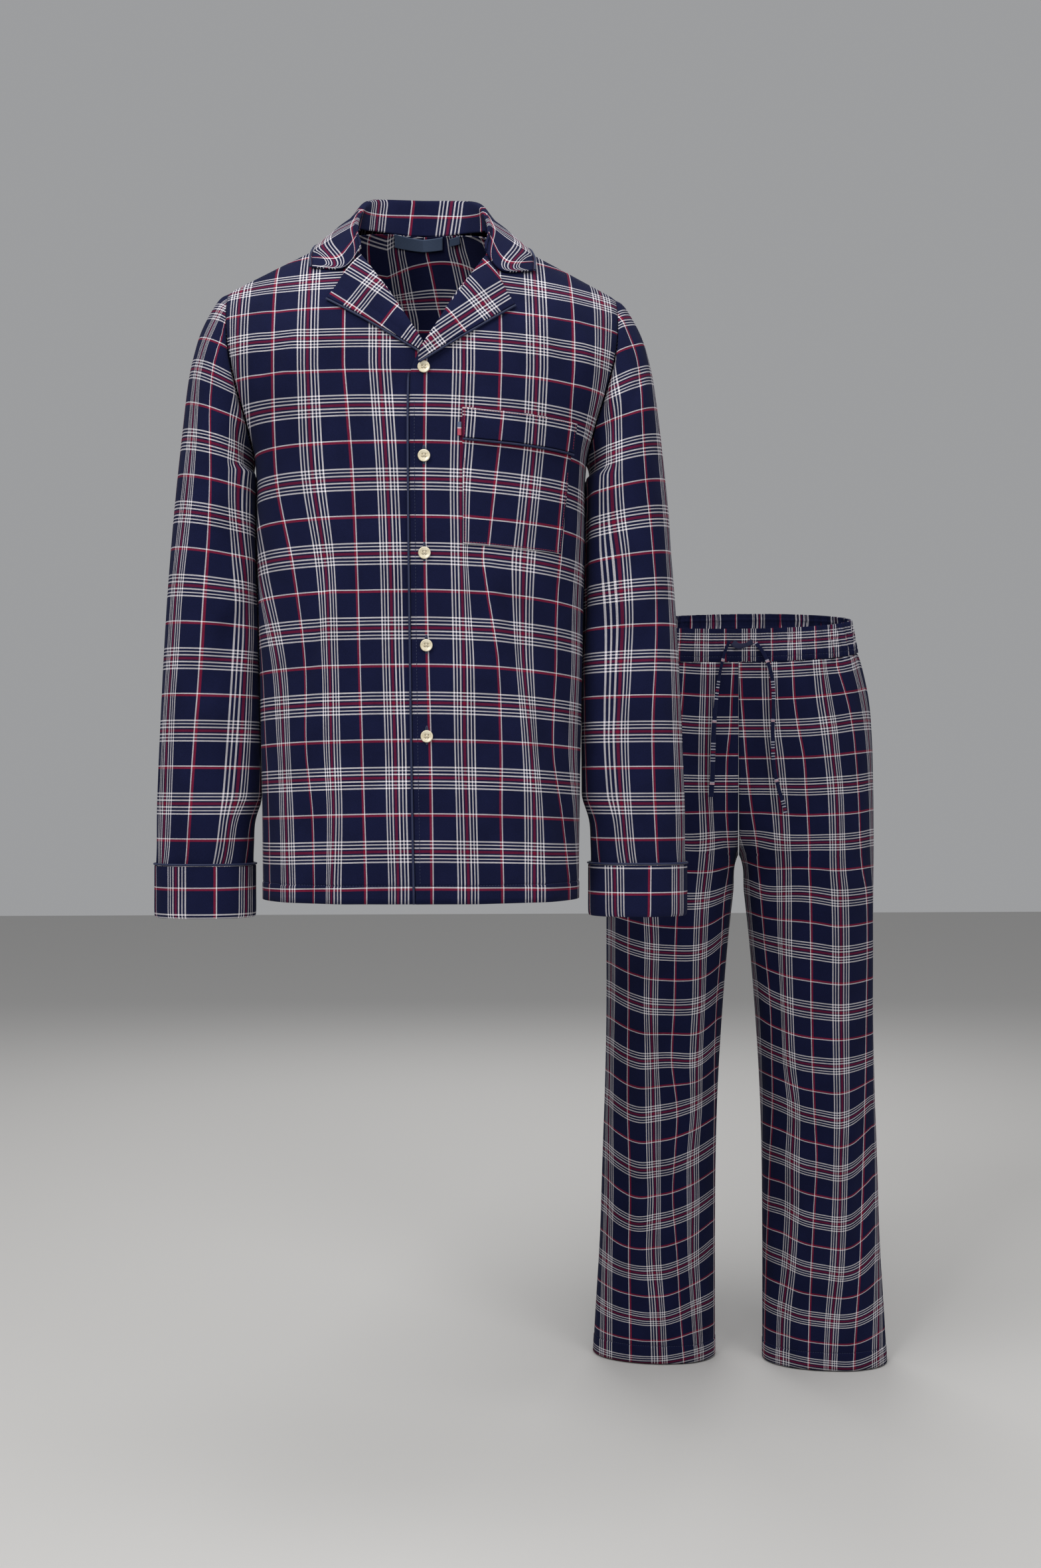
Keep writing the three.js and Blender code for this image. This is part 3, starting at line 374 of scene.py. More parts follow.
def outward(points, core, ring=False):
    """Directions square to the cloth, away from the core, and whether the grid's own turn agrees."""
    if ring:
        across = np.roll(points, -1, 1) - np.roll(points, 1, 1)
    else:
        across = np.gradient(points, axis=1)
    normals = unit(np.cross(across, np.gradient(points, axis=0)))
    vote = np.sign(np.sum(normals * (points - core(points)), -1)).sum()
    return normals * np.sign(vote), vote


def cloth(name, points, uvs, thickness, core, ring=False, material=flannel, sewn=(), seam_depth=0.8):
    """A shell of cloth: the grid of points is its outer face, and the wall goes inwards from it.
    A ring's columns run round and meet, with one more column of UVs than of points. The surface
    sinks a little along the sewn edges, each given as an axis of the grid and an end of it."""
    rows, columns = points.shape[:2]
    normals, vote = outward(points, core, ring)
    sunk = np.zeros((rows, columns))
    for axis, end in sewn:
        along = arc(points, axis)
        if end:
            along = np.take(along, [-1], axis) - along
        sunk = np.maximum(sunk, np.exp(-((along / 3.2) ** 2)))
    points = points - normals * seam_depth * sunk[..., None]
    inner = points - normals * thickness
    index = np.arange(rows * columns).reshape(rows, columns)
    if ring:
        index = np.concatenate([index, index[:, :1]], 1)
    shift = rows * columns

    def corners(grid):
        return [grid[:-1, :-1], grid[:-1, 1:], grid[1:, 1:], grid[1:, :-1]]

    outer = np.stack(corners(index), -1).reshape(-1, 4)
    outer_uv = np.stack(corners(uvs), -2).reshape(-1, 4, 2)
    faces = [outer, outer[:, ::-1] + shift]
    corner_uvs = [outer_uv, outer_uv[:, ::-1]]
    edges = [(index[0][::-1], uvs[0][::-1]), (index[-1], uvs[-1])]
    if not ring:
        edges += [(index[:, 0], uvs[:, 0]), (index[::-1, -1], uvs[::-1, -1])]
    for line, line_uv in edges:
        faces.append(np.stack([line[:-1], line[1:], line[1:] + shift, line[:-1] + shift], -1))
        corner_uvs.append(np.stack([line_uv[:-1], line_uv[1:], line_uv[1:], line_uv[:-1]], -2))
    faces, corner_uvs = np.concatenate(faces), np.concatenate(corner_uvs)
    if vote < 0:
        faces, corner_uvs = faces[:, ::-1], corner_uvs[:, ::-1]
    mesh = quads_mesh(name, np.concatenate([points.reshape(-1, 3), inner.reshape(-1, 3)]), faces, corner_uvs)
    piece = add_piece(name, mesh, material)
    return piece


def stitches(name, line, out, material, pitch=3.3, length=2.2, thick=0.5, slot="flannel"):
    """A row of stitches along a line on the cloth, each of which dips into it at both ends."""
    run = arc(line, 0)
    at = np.arange(pitch * 0.4, run[-1] - length, pitch)[:, None] + length * np.array([0, 0.22, 0.78, 1])
    place = np.stack([np.interp(at, run, line[:, k]) for k in range(3)], -1)
    facing = unit(np.stack([np.interp(at, run, out[:, k]) for k in range(3)], -1))
    aside = unit(np.cross(unit(place[:, -1:] - place[:, :1]), facing))
    centre = place + facing * (thick * np.array([-0.3, 0.35, 0.35, -0.3]))[None, :, None]
    angle = np.linspace(0, 2 * np.pi, 6, endpoint=False)[:, None]
    ring = aside[:, :, None] * np.cos(angle) + facing[:, :, None] * np.sin(angle)
    points = (centre[:, :, None] + ring * thick / 2).reshape(-1, 3)
    shape = []
    for i in (0, 6, 12):
        shape += [[i + j, i + (j + 1) % 6, i + 6 + (j + 1) % 6, i + 6 + j] for j in range(6)]
    shape += [[3, 2, 1, 0], [5, 4, 3, 0], [18, 19, 20, 21], [18, 21, 22, 23]]
    faces = (np.array(shape)[None] + 24 * np.arange(len(at))[:, None, None]).reshape(-1, 4)
    row = add_piece(name, quads_mesh(name, points, faces, np.zeros((len(faces), 4, 2))), material)
    return row


def tinted(colour, share):
    """That colour, darker or lighter."""
    return tuple(c * share for c in colour) + (1,)


def thread_material(name, colour):
    """Spun thread, plain and slightly glossy."""
    material = new_material(name)
    shader, node, link = node_tools(material)
    twist = noise(node, link, 1500)
    link(shades(node, link, twist, tinted(colour, 0.7), tinted(colour, 1.3)), shader.inputs["Base Color"])
    set_inputs(shader, [("Roughness", 0.55)])
    return material


navy_thread = thread_material("navy_thread", (0.016, 0.023, 0.07))
red_thread = thread_material("red_thread", (0.28, 0.014, 0.04))


# Jacket body
# Two fronts and a back in flannel, sewn at the shoulders and sides. The left front laps over the right
# one and is edged with piping. The form is a rounded box that hangs from a sloping shoulder ridge.
FRONT, BACK = -1, 1
CLOTH, DOUBLE_CLOTH, BAND_CLOTH = 0.8, 2.0, 2.2
SEAM_GAP = 0.1
SQUARENESS = 2.5
HEM, UNDERARM = -720, -240
SHOULDER_TIP_X, NECK_X, NAPE_SEAM_Z = 213.5, 72, 33


def table(heads, *rows):
    return dict(zip(heads.split(), np.array(sorted(rows), float).T))


BODY = table(
    "z half front back centre share",
    (-720, 174, 128, 120, -1.5, 1), (-620, 175, 127, 119, -1.5, 1), (-520, 177, 125, 117, -1.5, 1),
    (-420, 179, 124, 116, -1.5, 1), (-330, 181, 126, 119, -1.5, 1), (-240, 183, 128, 122, -1.5, 1),
    (-205, 197, 127, 123, -1.5, 0.96), (-170, 213, 125, 122, -1, 0.935), (-120, 232, 120, 118, 0, 0.905),
    (-54, 250, 110, 112, 0, 0.854), (30, 268, 98, 104, 0, 0.8),
)
# side, top and low end, x at both ends, spread across and depth
JACKET_FOLDS = [
    (-1, -330, -590, -86, -118, 17, 5), (-1, -520, -760, -140, -146, 15, 6),
    (-1, -560, -780, -66, -92, 17, 5), (-1, -320, -530, 62, 86, 16, 4), (-1, -440, -640, 98, 116, 15, 5),
    (-1, -540, -780, 122, 140, 16, 6), (-1, -590, -790, 52, 60, 18, 4), (1, -260, -620, -70, -96, 20, 6),
    (1, -480, -780, -134, -142, 16, 6), (1, -420, -760, -8, 6, 22, 5), (1, -300, -680, 76, 98, 19, 6),
    (1, -560, -790, 138, 146, 15, 5),
]
# sharper pinches between the broad folds: a negative depth is a trough
JACKET_CREASES = [
    (-1, -340, -500, -86, -110, 7, 2.4), (-1, -360, -560, -99, -134, 7, -2.2),
    (-1, -500, -700, -128, -142, 7, 2.2), (-1, -590, -705, -88, -92, 7, -1.8),
    (-1, -560, -720, -112, -120, 8, 1.6), (-1, -335, -470, 64, 80, 7, 2.2),
    (-1, -350, -540, 82, 112, 7, -2.2), (-1, -460, -560, 98, 112, 6, 2),
    (-1, -545, -700, 118, 140, 7, 2.2), (-1, -600, -720, 100, 112, 7, -1.8),
    (-1, -84, -205, -120, -160, 10, 2.4), (-1, -60, -190, -146, -178, 9, -2),
    (-1, -62, -160, 156, 178, 9, 2.2), (-1, -95, -215, 132, 172, 10, -1.8),
    (-1, -560, -715, 34, 30, 8, 1.2), (-1, -420, -640, -52, -58, 9, 1.3), (1, -240, -420, -64, -80, 8, 2),
    (1, -300, -560, 88, 104, 8, -2.2), (1, -420, -700, -112, -128, 8, 2.2), (1, -520, -715, 52, 60, 8, 2),
    (1, -80, -220, -130, -170, 10, 2.4), (1, -80, -230, 136, 172, 10, 2.2),
    (1, -560, -715, -30, -34, 8, -1.6),
]
LEFT_EDGE = table(
    "z x", (-720, -7.5), (-545, -10.5), (-300, -13.5), (-176, -13.5), (-158, -10.5), (-132, 3.5), (-75, 36),
    (-30, 66), (-5, 70), (19, 72),
)
RIGHT_EDGE = table(
    "z x", (-720, -19), (-300, -19), (-178, -19), (-156, -9), (-126, 6.5), (-75, 36), (-30, 66), (-5, 70),
    (19, 72),
)


def read(rows, column, value, by="z"):
    """A value from a table with smooth slopes between its rows."""
    keys, values = rows[by], rows[column]
    last = len(keys) - 1
    low, high = np.maximum(np.arange(last + 1) - 1, 0), np.minimum(np.arange(last + 1) + 1, last)
    slopes = (values[high] - values[low]) / (keys[high] - keys[low])
    v = np.clip(np.asarray(value, float), keys[0], keys[-1])
    row = np.clip(np.searchsorted(keys, v, side="right") - 1, 0, last - 1)
    span = keys[row + 1] - keys[row]
    t = (v - keys[row]) / span
    s = 1 - t
    return (
        values[row] * (1 + 2 * t) * s * s + slopes[row] * span * t * s * s
        + values[row + 1] * t * t * (3 - 2 * t) - slopes[row + 1] * span * t * t * s
    )


def mix(a, b, t):
    return a + (b - a) * t


def ease(t):
    t = np.clip(t, 0, 1)
    return t * t * (3 - 2 * t)


def power_of(v, power):
    return np.sign(v) * np.abs(v) ** power


def crease(run, across, start, end, spread, depth):
    """One crease: how far it stands out, by the share of its length and the place across it."""
    offset = (across - mix(start, end, run)) / spread
    inside = (run > 0) & (run < 1)
    return inside * depth * ease(run * 3) * ease((1 - run) * 4) * np.exp(-offset * offset)


def fold_height(folds, side, x, z):
    total = np.zeros(np.broadcast(x, z).shape)
    for fold_side, top, low, x_top, x_low, spread, depth in folds:
        if fold_side == side:
            total = total + crease((top - z) / (top - low), x, x_top, x_low, spread, depth)
    return total


def ripple(a, b):
    """The gentle unevenness of hung cloth, between about -1 and 1, over lengths of 2 to 9 cm."""
    warp = 0.9 * np.sin(b / 71 + 0.6 * np.sin(a / 53))
    short = 0.5 * np.sin(a / 13 + warp) * np.sin(b / 57 + 1.1 * np.sin(a / 37))
    return short + 0.35 * np.sin(a / 29 + b / 91 + warp) + 0.15 * np.sin(a / 7.3 - b / 23)


def ridge(x, side):
    nape = 30 * np.exp(-((x / 50) ** 2)) if side > 0 else 0
    return 55.6 - 0.515 * np.abs(x) + nape


def body_depth(x, z, side):
    """How far the outer face stands in front of or behind the shoulder plane."""
    half = read(BODY, "half", z)
    across = np.minimum(np.abs(x - read(BODY, "centre", z)) / half, 1)
    round_off = (1 - across**SQUARENESS) ** (1 / SQUARENESS)
    drop = np.maximum(ridge(x, side) - z, 0)
    rise = np.maximum(1 - drop / (190 - 0.4 * np.abs(x)), 0)
    fold = fold_height(JACKET_FOLDS + JACKET_CREASES, side, x, z) + 0.8 * ripple(x, z + 60 * side)
    fold = fold * (1 - across**6)
    return read(BODY, "front" if side < 0 else "back", z) * round_off * (1 - rise * rise) ** 0.6 + fold


def on_body(x, z, side, lift):
    """Points at a distance off the jacket's outer face."""
    x, z = np.broadcast_arrays(np.asarray(x, float), np.asarray(z, float))
    across = (body_depth(x + 1, z, side) - body_depth(x - 1, z, side)) / 2
    up = (body_depth(x, z + 1, side) - body_depth(x, z - 1, side)) / 2
    normal = unit(np.stack([-across, np.full(x.shape, float(side)), -up], -1))
    return np.stack([x, side * body_depth(x, z, side), z], -1) + normal * np.asarray(lift)[..., None]


def lap_lift(x, z):
    return 2.4 * (1 - ease((x - 24) / 50)) * ease((-100 - z) / 30)


def risen(k, count):
    return 1 - (1 - k / count) ** 1.8


HEM_WIDTH = 19
NEAR_STITCHES = np.array([-3.2, -2.1, -1.2, -0.5, 0, 0.5, 1.2, 2.1, 3.2])


def body_rows(last, rows, level):
    """Evenly spaced rows up a panel, with some more where its hem is stitched."""
    stitched = HEM_WIDTH / (UNDERARM - HEM) * level
    near = stitched + NEAR_STITCHES / (UNDERARM - HEM) * level
    return np.sort(np.concatenate([np.linspace(0, last, rows - len(near)), near]))[:, None]


def with_hem(points, core, width=HEM_WIDTH, floor=HEM):
    """Press the stitch line of the turned hem into the cloth and let the hem below it stand out."""
    normals, _ = outward(points, core)
    height = points[..., 2:] - floor
    lift = 0.5 * ease((width - height) / 1.5) - 0.6 * np.exp(-(((height - width) / 1.1) ** 2))
    return points + normals * lift


def hem_line(points, core, height=HEM_WIDTH, floor=HEM):
    """The grid's row at that height above its low edge, and the directions out of the cloth along it."""
    row = int(np.argmin(np.abs(points[:, points.shape[1] // 2, 2] - floor - height)))
    return points[row], outward(points, core)[0][row]


def panel_sides(last, rows, underarm):
    """For each row of a panel: whether it is below the underarm, its height at the side and under it, its
    share of the way up the armhole, and how far out its side is."""
    k = body_rows(last, rows, underarm)
    below = k <= underarm
    up = np.where(below, 0, risen(np.maximum(k - underarm, 0), last - underarm))
    level = HEM + (UNDERARM - HEM) * np.minimum(k / underarm, 1)
    outer_z = np.where(below, level, mix(UNDERARM, ridge(SHOULDER_TIP_X, FRONT), up))
    reach = read(BODY, "half", outer_z) * read(BODY, "share", outer_z)
    reach = mix(reach, SHOULDER_TIP_X, ease((up - 0.97) / 0.03))
    return below, level, up, outer_z, reach


def front_grid(hand, rows, columns):
    below, level, up, outer_z, reach = panel_sides(19, rows, 9)
    t = np.linspace(0, 1, columns)[None, :]
    inner_z = np.where(below, level, mix(UNDERARM, ridge(NECK_X, FRONT), up))
    outer_x = read(BODY, "centre", outer_z) + hand * reach
    if hand > 0:
        inner_x = read(LEFT_EDGE, "x", inner_z)
    else:
        inner_x = np.where(below, 19, -read(RIGHT_EDGE, "x", inner_z))
    share = mix(np.sin(math.pi / 2 * t) ** (2 / SQUARENESS), t, up)
    x, z = mix(inner_x, outer_x, share), mix(inner_z, outer_z, share)
    y = -body_depth(x, z, FRONT) - (lap_lift(x, z) if hand > 0 else 0)
    return np.stack([x, y - SEAM_GAP / 2 * (1 + up), z], -1)


# Where the check's upright lines run on each front: for each height, the x of every half repeat. They
# drift with the folds, as a worn jacket's do.
LEFT_LINES = table(
    "z p0 p1 p2 p3 p4 p5",
    (-158, -36, 3, 42.7, 81.4, 119.8, 160), (-270, -37, 1.8, 39.4, 76.1, 114.8, 153.2),
    (-352, -36, 2.4, 40.2, 62, 107, 147), (-389, -35.5, 3, 41, 65.8, 105.4, 143.5),
    (-425, -35, 4, 41.8, 72, 105, 142), (-468, -34, 5, 42.7, 78.5, 105.8, 141.7),
    (-559, -31, 7.8, 43.5, 81.9, 113.9, 138.2), (-626, -30, 9, 45.4, 81.8, 117.2, 148.3),
    (-697, -29, 9.7, 47.3, 83.4, 117.3, 157.6),
)
RIGHT_LINES = table(
    "z p0 p1 p2 p3 p4 p5",
    (-158, -197, -157.5, -120.4, -82.5, -45.2, -6), (-270, -194, -155.2, -115.4, -73.3, -37.6, 1.4),
    (-369, -177, -136.2, -101.3, -69, -33.7, 5.3), (-468, -153.5, -123.8, -97.2, -66.2, -31.8, 7.2),
    (-559, -146.9, -122.4, -95.3, -63.4, -29, 10), (-626, -144.5, -115.5, -93.2, -61.3, -27.8, 11),
    (-697, -142.3, -113.5, -95.2, -59, -25.8, 13),
)
# Heights of the burgundy bars at the middle of the front, and how far they sink towards the sides
BARS = table(
    "z v",
    (-742, -8), (-665, -7), (-588.4, -6), (-510.5, -5), (-432.4, -4), (-355.2, -3), (-278.3, -2),
    (-201.4, -1), (-129.9, 0), (-62, 1), (14, 2), (90, 3),
)
DROOP = table(
    "z left right",
    (-720, 3, 4), (-650, 6, 4), (-570, 6, 4), (-490, 8, 3.5), (-410, 10, 3), (-330, 10, 2), (-240, 7, 0),
    (-160, 5.6, -1),
)
PERIOD = 77
PERIOD_ROUND = 78


def lines_across(lines, places_at, value, first, count):
    """The check's coordinate across a panel, in repeats, from the places of its upright lines."""
    places = np.stack([read(lines, f"p{k}", places_at) for k in range(count)])
    result = first + (value - places[0]) / (places[1] - places[0]) * 0.5
    for k in range(1, count - 1):
        beyond = first + 0.5 * k + (value - places[k]) / (places[k + 1] - places[k]) * 0.5
        result = np.where(value >= places[k], beyond, result)
    return result


def run_at(edge, places, run):
    """How far along each row of a grid its edge value lies, from the places along that row."""
    return np.array([np.interp(*row) for row in zip(edge, places, run)])[:, None]


def body_core(points):
    core = np.zeros_like(points)
    core[..., 2] = np.minimum(points[..., 2], -60)
    return core


def front_uv(points, hand):
    """Upright lines keep to their table as far as it goes, and round the side they keep their spacing."""
    x, z = points[..., 0], points[..., 2]
    lines, first, outer = (LEFT_LINES, -1.0, "p5") if hand > 0 else (RIGHT_LINES, -2.0, "p0")
    edge = read(lines, outer, z)
    held = np.minimum(x, edge) if hand > 0 else np.maximum(x, edge)
    across = lines_across(lines, z, held, first, 6)
    run = arc(points)
    row = hand * x
    beyond = np.maximum(run - run_at((hand * edge)[:, -1], row, run), 0) / PERIOD_ROUND
    sink = read(DROOP, "left" if hand > 0 else "right", z) * (x / 160) ** 2
    return np.stack([-(across + hand * beyond), -read(BARS, "v", z + sink)], -1)


for name, hand in (("left", 1), ("right", -1)):
    points = front_grid(hand, 165, 90)
    uvs = front_uv(points, hand)
    points = with_hem(points, body_core)
    piece = cloth(f"jacket_front_{name}", points, uvs, CLOTH, body_core, sewn=[(1, 1), (0, 1)])
    stitches(f"hem_stitches_{name}", *hem_line(points, body_core), navy_thread)
    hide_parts(f"front_{name}")


def back_grid(rows, columns):
    below, level, up, outer_z, reach = panel_sides(16, rows, 8)
    j = np.linspace(-9, 9, columns)[None, :]
    even = np.abs(j) / 9
    neck = NECK_X / SHOULDER_TIP_X
    top = np.where(np.abs(j) < 4, neck * np.abs(j) / 4, mix(neck, 1, (np.abs(j) - 4) / 5))
    share = mix(np.sin(math.pi / 2 * even) ** (2 / SQUARENESS), top, up)
    x = read(BODY, "centre", outer_z) + np.sign(j) * reach * share
    across = np.abs(x) / NECK_X
    seam = NAPE_SEAM_Z - (NAPE_SEAM_Z - ridge(NECK_X, FRONT)) * across**2
    back_top = np.where(across < 1, seam, ridge(x, FRONT))
    z = np.where(below, level, mix(UNDERARM, back_top, up))
    return np.stack([x, body_depth(x, z, BACK) + SEAM_GAP / 2 * (1 + up), z], -1)


# The thin upright line of the back wanders from the nape down, and its cross lines start at their own
# height under the collar
BACK_THIN = table("z x", (-720, -6), (-400, 2), (-150, 14), (-60, 19), (-33, 14), (1, 7), (17, 3), (60, 0))
points = back_grid(155, 130)
middle = arc(points)[:, points.shape[1] // 2][:, None]
across = 0.5 + (arc(points) - middle - read(BACK_THIN, "x", points[..., 2])) / PERIOD_ROUND
sink = 20 * np.minimum(np.abs(points[..., 0] - 14) / 55, 1) ** 2 * ease((points[..., 2] + 60) / 60)
rise = read(BARS, "v", points[..., 2] + sink - 32)
uvs = np.stack([across, -rise], -1)
points = with_hem(points, body_core)
piece = cloth("jacket_back", points, uvs, CLOTH, body_core, sewn=[(1, 0), (1, 1), (0, 1)])
stitches("hem_stitches_back", *hem_line(points, body_core), navy_thread)
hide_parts("back")


# Sleeves
# One tube of flannel each, set into the armhole and hanging almost straight down, with its seam under
# the arm. The upper sleeve is wide where the armhole slants, and it narrows to the cuff.
SLEEVE_START = -0.75 * math.pi
# outer side's x and z, inner side's x and z, depth in front and behind, sway, and share of the armhole's form
SLEEVE = np.array([
    (229, -69, 186.4, -247, 66, 64, 0, 0.28), (243, -96, 187.4, -257, 69, 68, -1, 0.15),
    (251, -122, 187.8, -269, 70, 71, -1, 0.07), (257, -155, 187.8, -284, 71, 72, -2, 0.02),
    (263, -210, 187.2, -315, 69, 71, -3, 0), (270, -275, 186.6, -352, 66, 68, -4, 0),
    (276, -343, 186, -397, 62, 64, -6, 0), (281, -412, 185.4, -446, 58, 59, -8, 0),
    (285, -482, 185, -502, 53, 54, -10, 0), (288, -552, 184.8, -562, 48, 48, -11, 0),
    (290.2, -620, 185, -622, 42.5, 42, -12, 0), (290.4, -672, 186, -672, 38.5, 38, -12, 0),
    (290.2, -695, 186.2, -695, 37, 36.5, -12, 0),
])
SLEEVE_ROWS = 170


def armhole(hand, angle):
    tip = ridge(SHOULDER_TIP_X, FRONT)
    z = (tip + UNDERARM) / 2 + (tip - UNDERARM) / 2 * np.cos(angle)
    x = read(BODY, "centre", z) + hand * read(BODY, "half", z) * read(BODY, "share", z)
    front = np.sin(angle) > 0
    depth = np.where(front, -body_depth(x, z, FRONT), body_depth(x, z, BACK))
    y = depth * np.minimum(1, np.abs(np.sin(angle)) * 8)
    return np.stack([x + hand * (SEAM_GAP + 0.2), y, z], -1)


def sleeve_ring(row, hand, angle):
    out_x, out_z, in_x, in_z, front, back, sway = row[:7]
    up = power_of(np.cos(angle), 2 / 2.15)
    out = power_of(np.sin(angle), 2 / 2.15)
    x = hand * ((out_x + in_x) / 2 + (out_x - in_x) / 2 * up)
    z = (out_z + in_z) / 2 + (out_z - in_z) / 2 * up
    return np.stack([x, sway - np.where(out > 0, front, back) * out, z], -1)


def smooth_rows(rows, count):
    """More rows between those of a grid, on a smooth curve through each column."""
    rows = np.asarray(rows)
    ends = np.concatenate([2 * rows[:1] - rows[1:2], rows, 2 * rows[-1:] - rows[-2:-1]])
    at = np.linspace(0, len(rows) - 1, count)
    k = np.minimum(at.astype(int), len(rows) - 2)
    t = (at - k).reshape(-1, *([1] * (rows.ndim - 1)))
    a, b, c, d = ends[k], ends[k + 1], ends[k + 2], ends[k + 3]
    return curve(a, b, c, d, t)


# ring and angle in degrees at the top and at the low end, spread in degrees and depth: creases that run
# down the inner side and slant across the elbow
SLEEVE_CREASES = {
    -1: [
        (3, 7.4, 150, 172, 13, -4.5), (2, 5.6, 126, 150, 13, 2.2), (0.8, 4, 72, 58, 16, 1.9),
        (5.4, 8.2, 160, 96, 12, 1.8), (6.8, 9.6, 150, 78, 12, -1.6), (8.6, 12.4, 100, 112, 11, 1.7),
        (9, 12.5, 52, 60, 12, -1.5), (3, 8, -80, -95, 16, 2.4), (6, 9.5, -128, -66, 12, 1.8),
        (8.5, 12.5, -60, -75, 12, -1.6),
    ],
    1: [
        (2.4, 8.6, 158, 176, 12, -4.5), (1.4, 5, 118, 140, 14, 2.4), (0.8, 3.6, 40, 66, 14, -2),
        (5.2, 7.9, 152, 88, 12, 1.9), (7.3, 9.8, 58, 132, 11, -1.6), (9, 12.4, 86, 96, 11, 1.8),
        (4, 7, 30, 18, 14, 1.6), (3, 8, -85, -100, 16, 2.4), (5.5, 9, -60, -125, 12, 1.8),
        (9, 12.5, -74, -60, 12, 1.6),
    ],
}


def sleeve_relief(hand, ring, angle):
    """How far a sleeve's surface stands off its smooth form. The armhole and the end inside the cuff keep
    to it."""
    turn = np.degrees(angle)
    total = 0.45 * ripple(64 * np.cos(angle), ring * 47 + 60 * hand)
    total = total + 0.45 * ripple(64 * np.sin(angle) + 200, ring * 47)
    for top, low, turn_top, turn_low, spread, depth in SLEEVE_CREASES[hand]:
        total = total + crease((ring - top) / (low - top), turn, turn_top, turn_low, spread, depth)
    gathered = 0.9 * np.sin(9 * angle + 1.2 * np.sin(2 * angle)) * ease((ring - 11.6) / 0.9)
    return (total + gathered) * ease(ring / 1.2) * ease((12.75 - ring) / 0.35)


def against_side(points, hand, angle):
    """Down to a hand's breadth above the hem the inner side of a sleeve hangs against the jacket's side."""
    x, y, z = points[..., 0], points[..., 1], points[..., 2]
    inner = ease((-np.cos(angle) - 0.1) / 0.7) * ease((-246 - z) / 14) * ease((z + 655) / 50)
    centre = read(BODY, "centre", z)
    deep = np.where(y < 0, read(BODY, "front", z), read(BODY, "back", z))
    round_off = np.maximum(1 - np.minimum(np.abs(y) / deep, 1) ** SQUARENESS, 0) ** (1 / SQUARENESS)
    side = read(BODY, "half", z) * round_off
    reach = hand * (x - centre)
    leant = np.maximum(reach - 9 * inner, side + 1)
    return np.stack([centre + hand * mix(reach, np.minimum(leant, reach), inner), y, z], -1)


def sleeve_grid(hand, rows, columns):
    angle = np.linspace(SLEEVE_START, SLEEVE_START + 2 * np.pi, columns, endpoint=False)
    first = armhole(hand, angle)
    start = sleeve_ring(SLEEVE[0], hand, angle)
    rings = [first] + [sleeve_ring(row, hand, angle) + (first - start) * row[7] for row in SLEEVE]
    points = smooth_rows(rings, rows)
    ring = np.linspace(0, len(SLEEVE), rows)[:, None]
    away = unit(points - points.mean(1, keepdims=True))
    points = points + away * sleeve_relief(hand, ring, angle[None, :])[..., None]
    return against_side(points, hand, angle[None, :])


def sleeve_core(hand):
    def core(points):
        made = np.zeros_like(points)
        made[..., 0] = hand * 232
        made[..., 1] = -6
        made[..., 2] = np.minimum(points[..., 2], -160)
        return made
    return core


# How steeply the burgundy bars rise towards a sleeve's outer side, and their heights
SLEEVE_TILT = table(
    "z tilt", (-620, 0), (-500, 0.02), (-420, 0.06), (-345, 0.14), (-270, 0.21), (-200, 0.32),
    (-160, 0.45), (-60, 0.5),
)
SLEEVE_BARS = table(
    "z v",
    (-694, -7), (-616, -6), (-538, -5), (-461.5, -4), (-385.5, -3), (-309, -2), (-233, -1), (-159, 0),
    (-84, 1), (-8, 2), (70, 3),
)
# Where the upright lines run on each sleeve: for each ring of the table above, the angle of every half
# repeat in degrees, from the outer side round the front to the inner side
SLEEVE_LINES = {
    "right": table(
        "ring p0 p1 p2 p3",
        (0, 38, 56, 115, 170), (2, 48, 74, 122, 178), (3.2, 50, 80, 126, 182), (5, 55, 89, 124, 180),
        (6.2, 54, 91, 130, 179), (7.5, 47, 89, 137, 178), (8.6, 45, 87, 134, 174),
        (9.7, 41, 83, 130, 170), (11, 40, 78, 124, 160), (13, 34, 70, 110, 145),
    ),
    "left": table(
        "ring p0 p1 p2 p3",
        (0, 5, 45, 95, 140), (2, 8, 53, 110, 155), (4, 20, 67, 117, 165), (5.4, 28, 70, 117, 172),
        (6.6, 30, 67, 111, 177), (7.7, 32, 66, 109, 172), (8.6, 33, 71, 112, 166),
        (9.6, 33, 77, 115, 163), (10.6, 32, 77, 113, 158), (13, 27, 69, 102, 144),
    ),
}


def turned_uv(points, lines, places_at):
    """Check coordinate round a ring: by its lines across the front, and by distance round the back."""
    closed = np.concatenate([points, points[:, :1]], 1)
    turn = np.degrees(np.linspace(SLEEVE_START, SLEEVE_START + 2 * np.pi, closed.shape[1]))
    turn = np.broadcast_to(turn, closed.shape[:2])
    low, high = read(lines, "p0", places_at, "ring"), read(lines, "p3", places_at, "ring")
    places = {key: read(lines, key, places_at, "ring") for key in ("p0", "p1", "p2", "p3")}
    held = np.clip(turn, low, high)
    across = np.zeros(closed.shape[:2])
    for k in range(3):
        start, stop = places[f"p{k}"], places[f"p{k + 1}"]
        across = across + 0.5 * np.clip((held - start) / (stop - start), 0, 1)
    run = arc(closed)
    start, stop = (run_at(edge[:, 0], turn, run) for edge in (low, high))
    past = np.maximum(run - stop, 0) - np.maximum(start - run, 0)
    return closed, across + past / PERIOD_ROUND


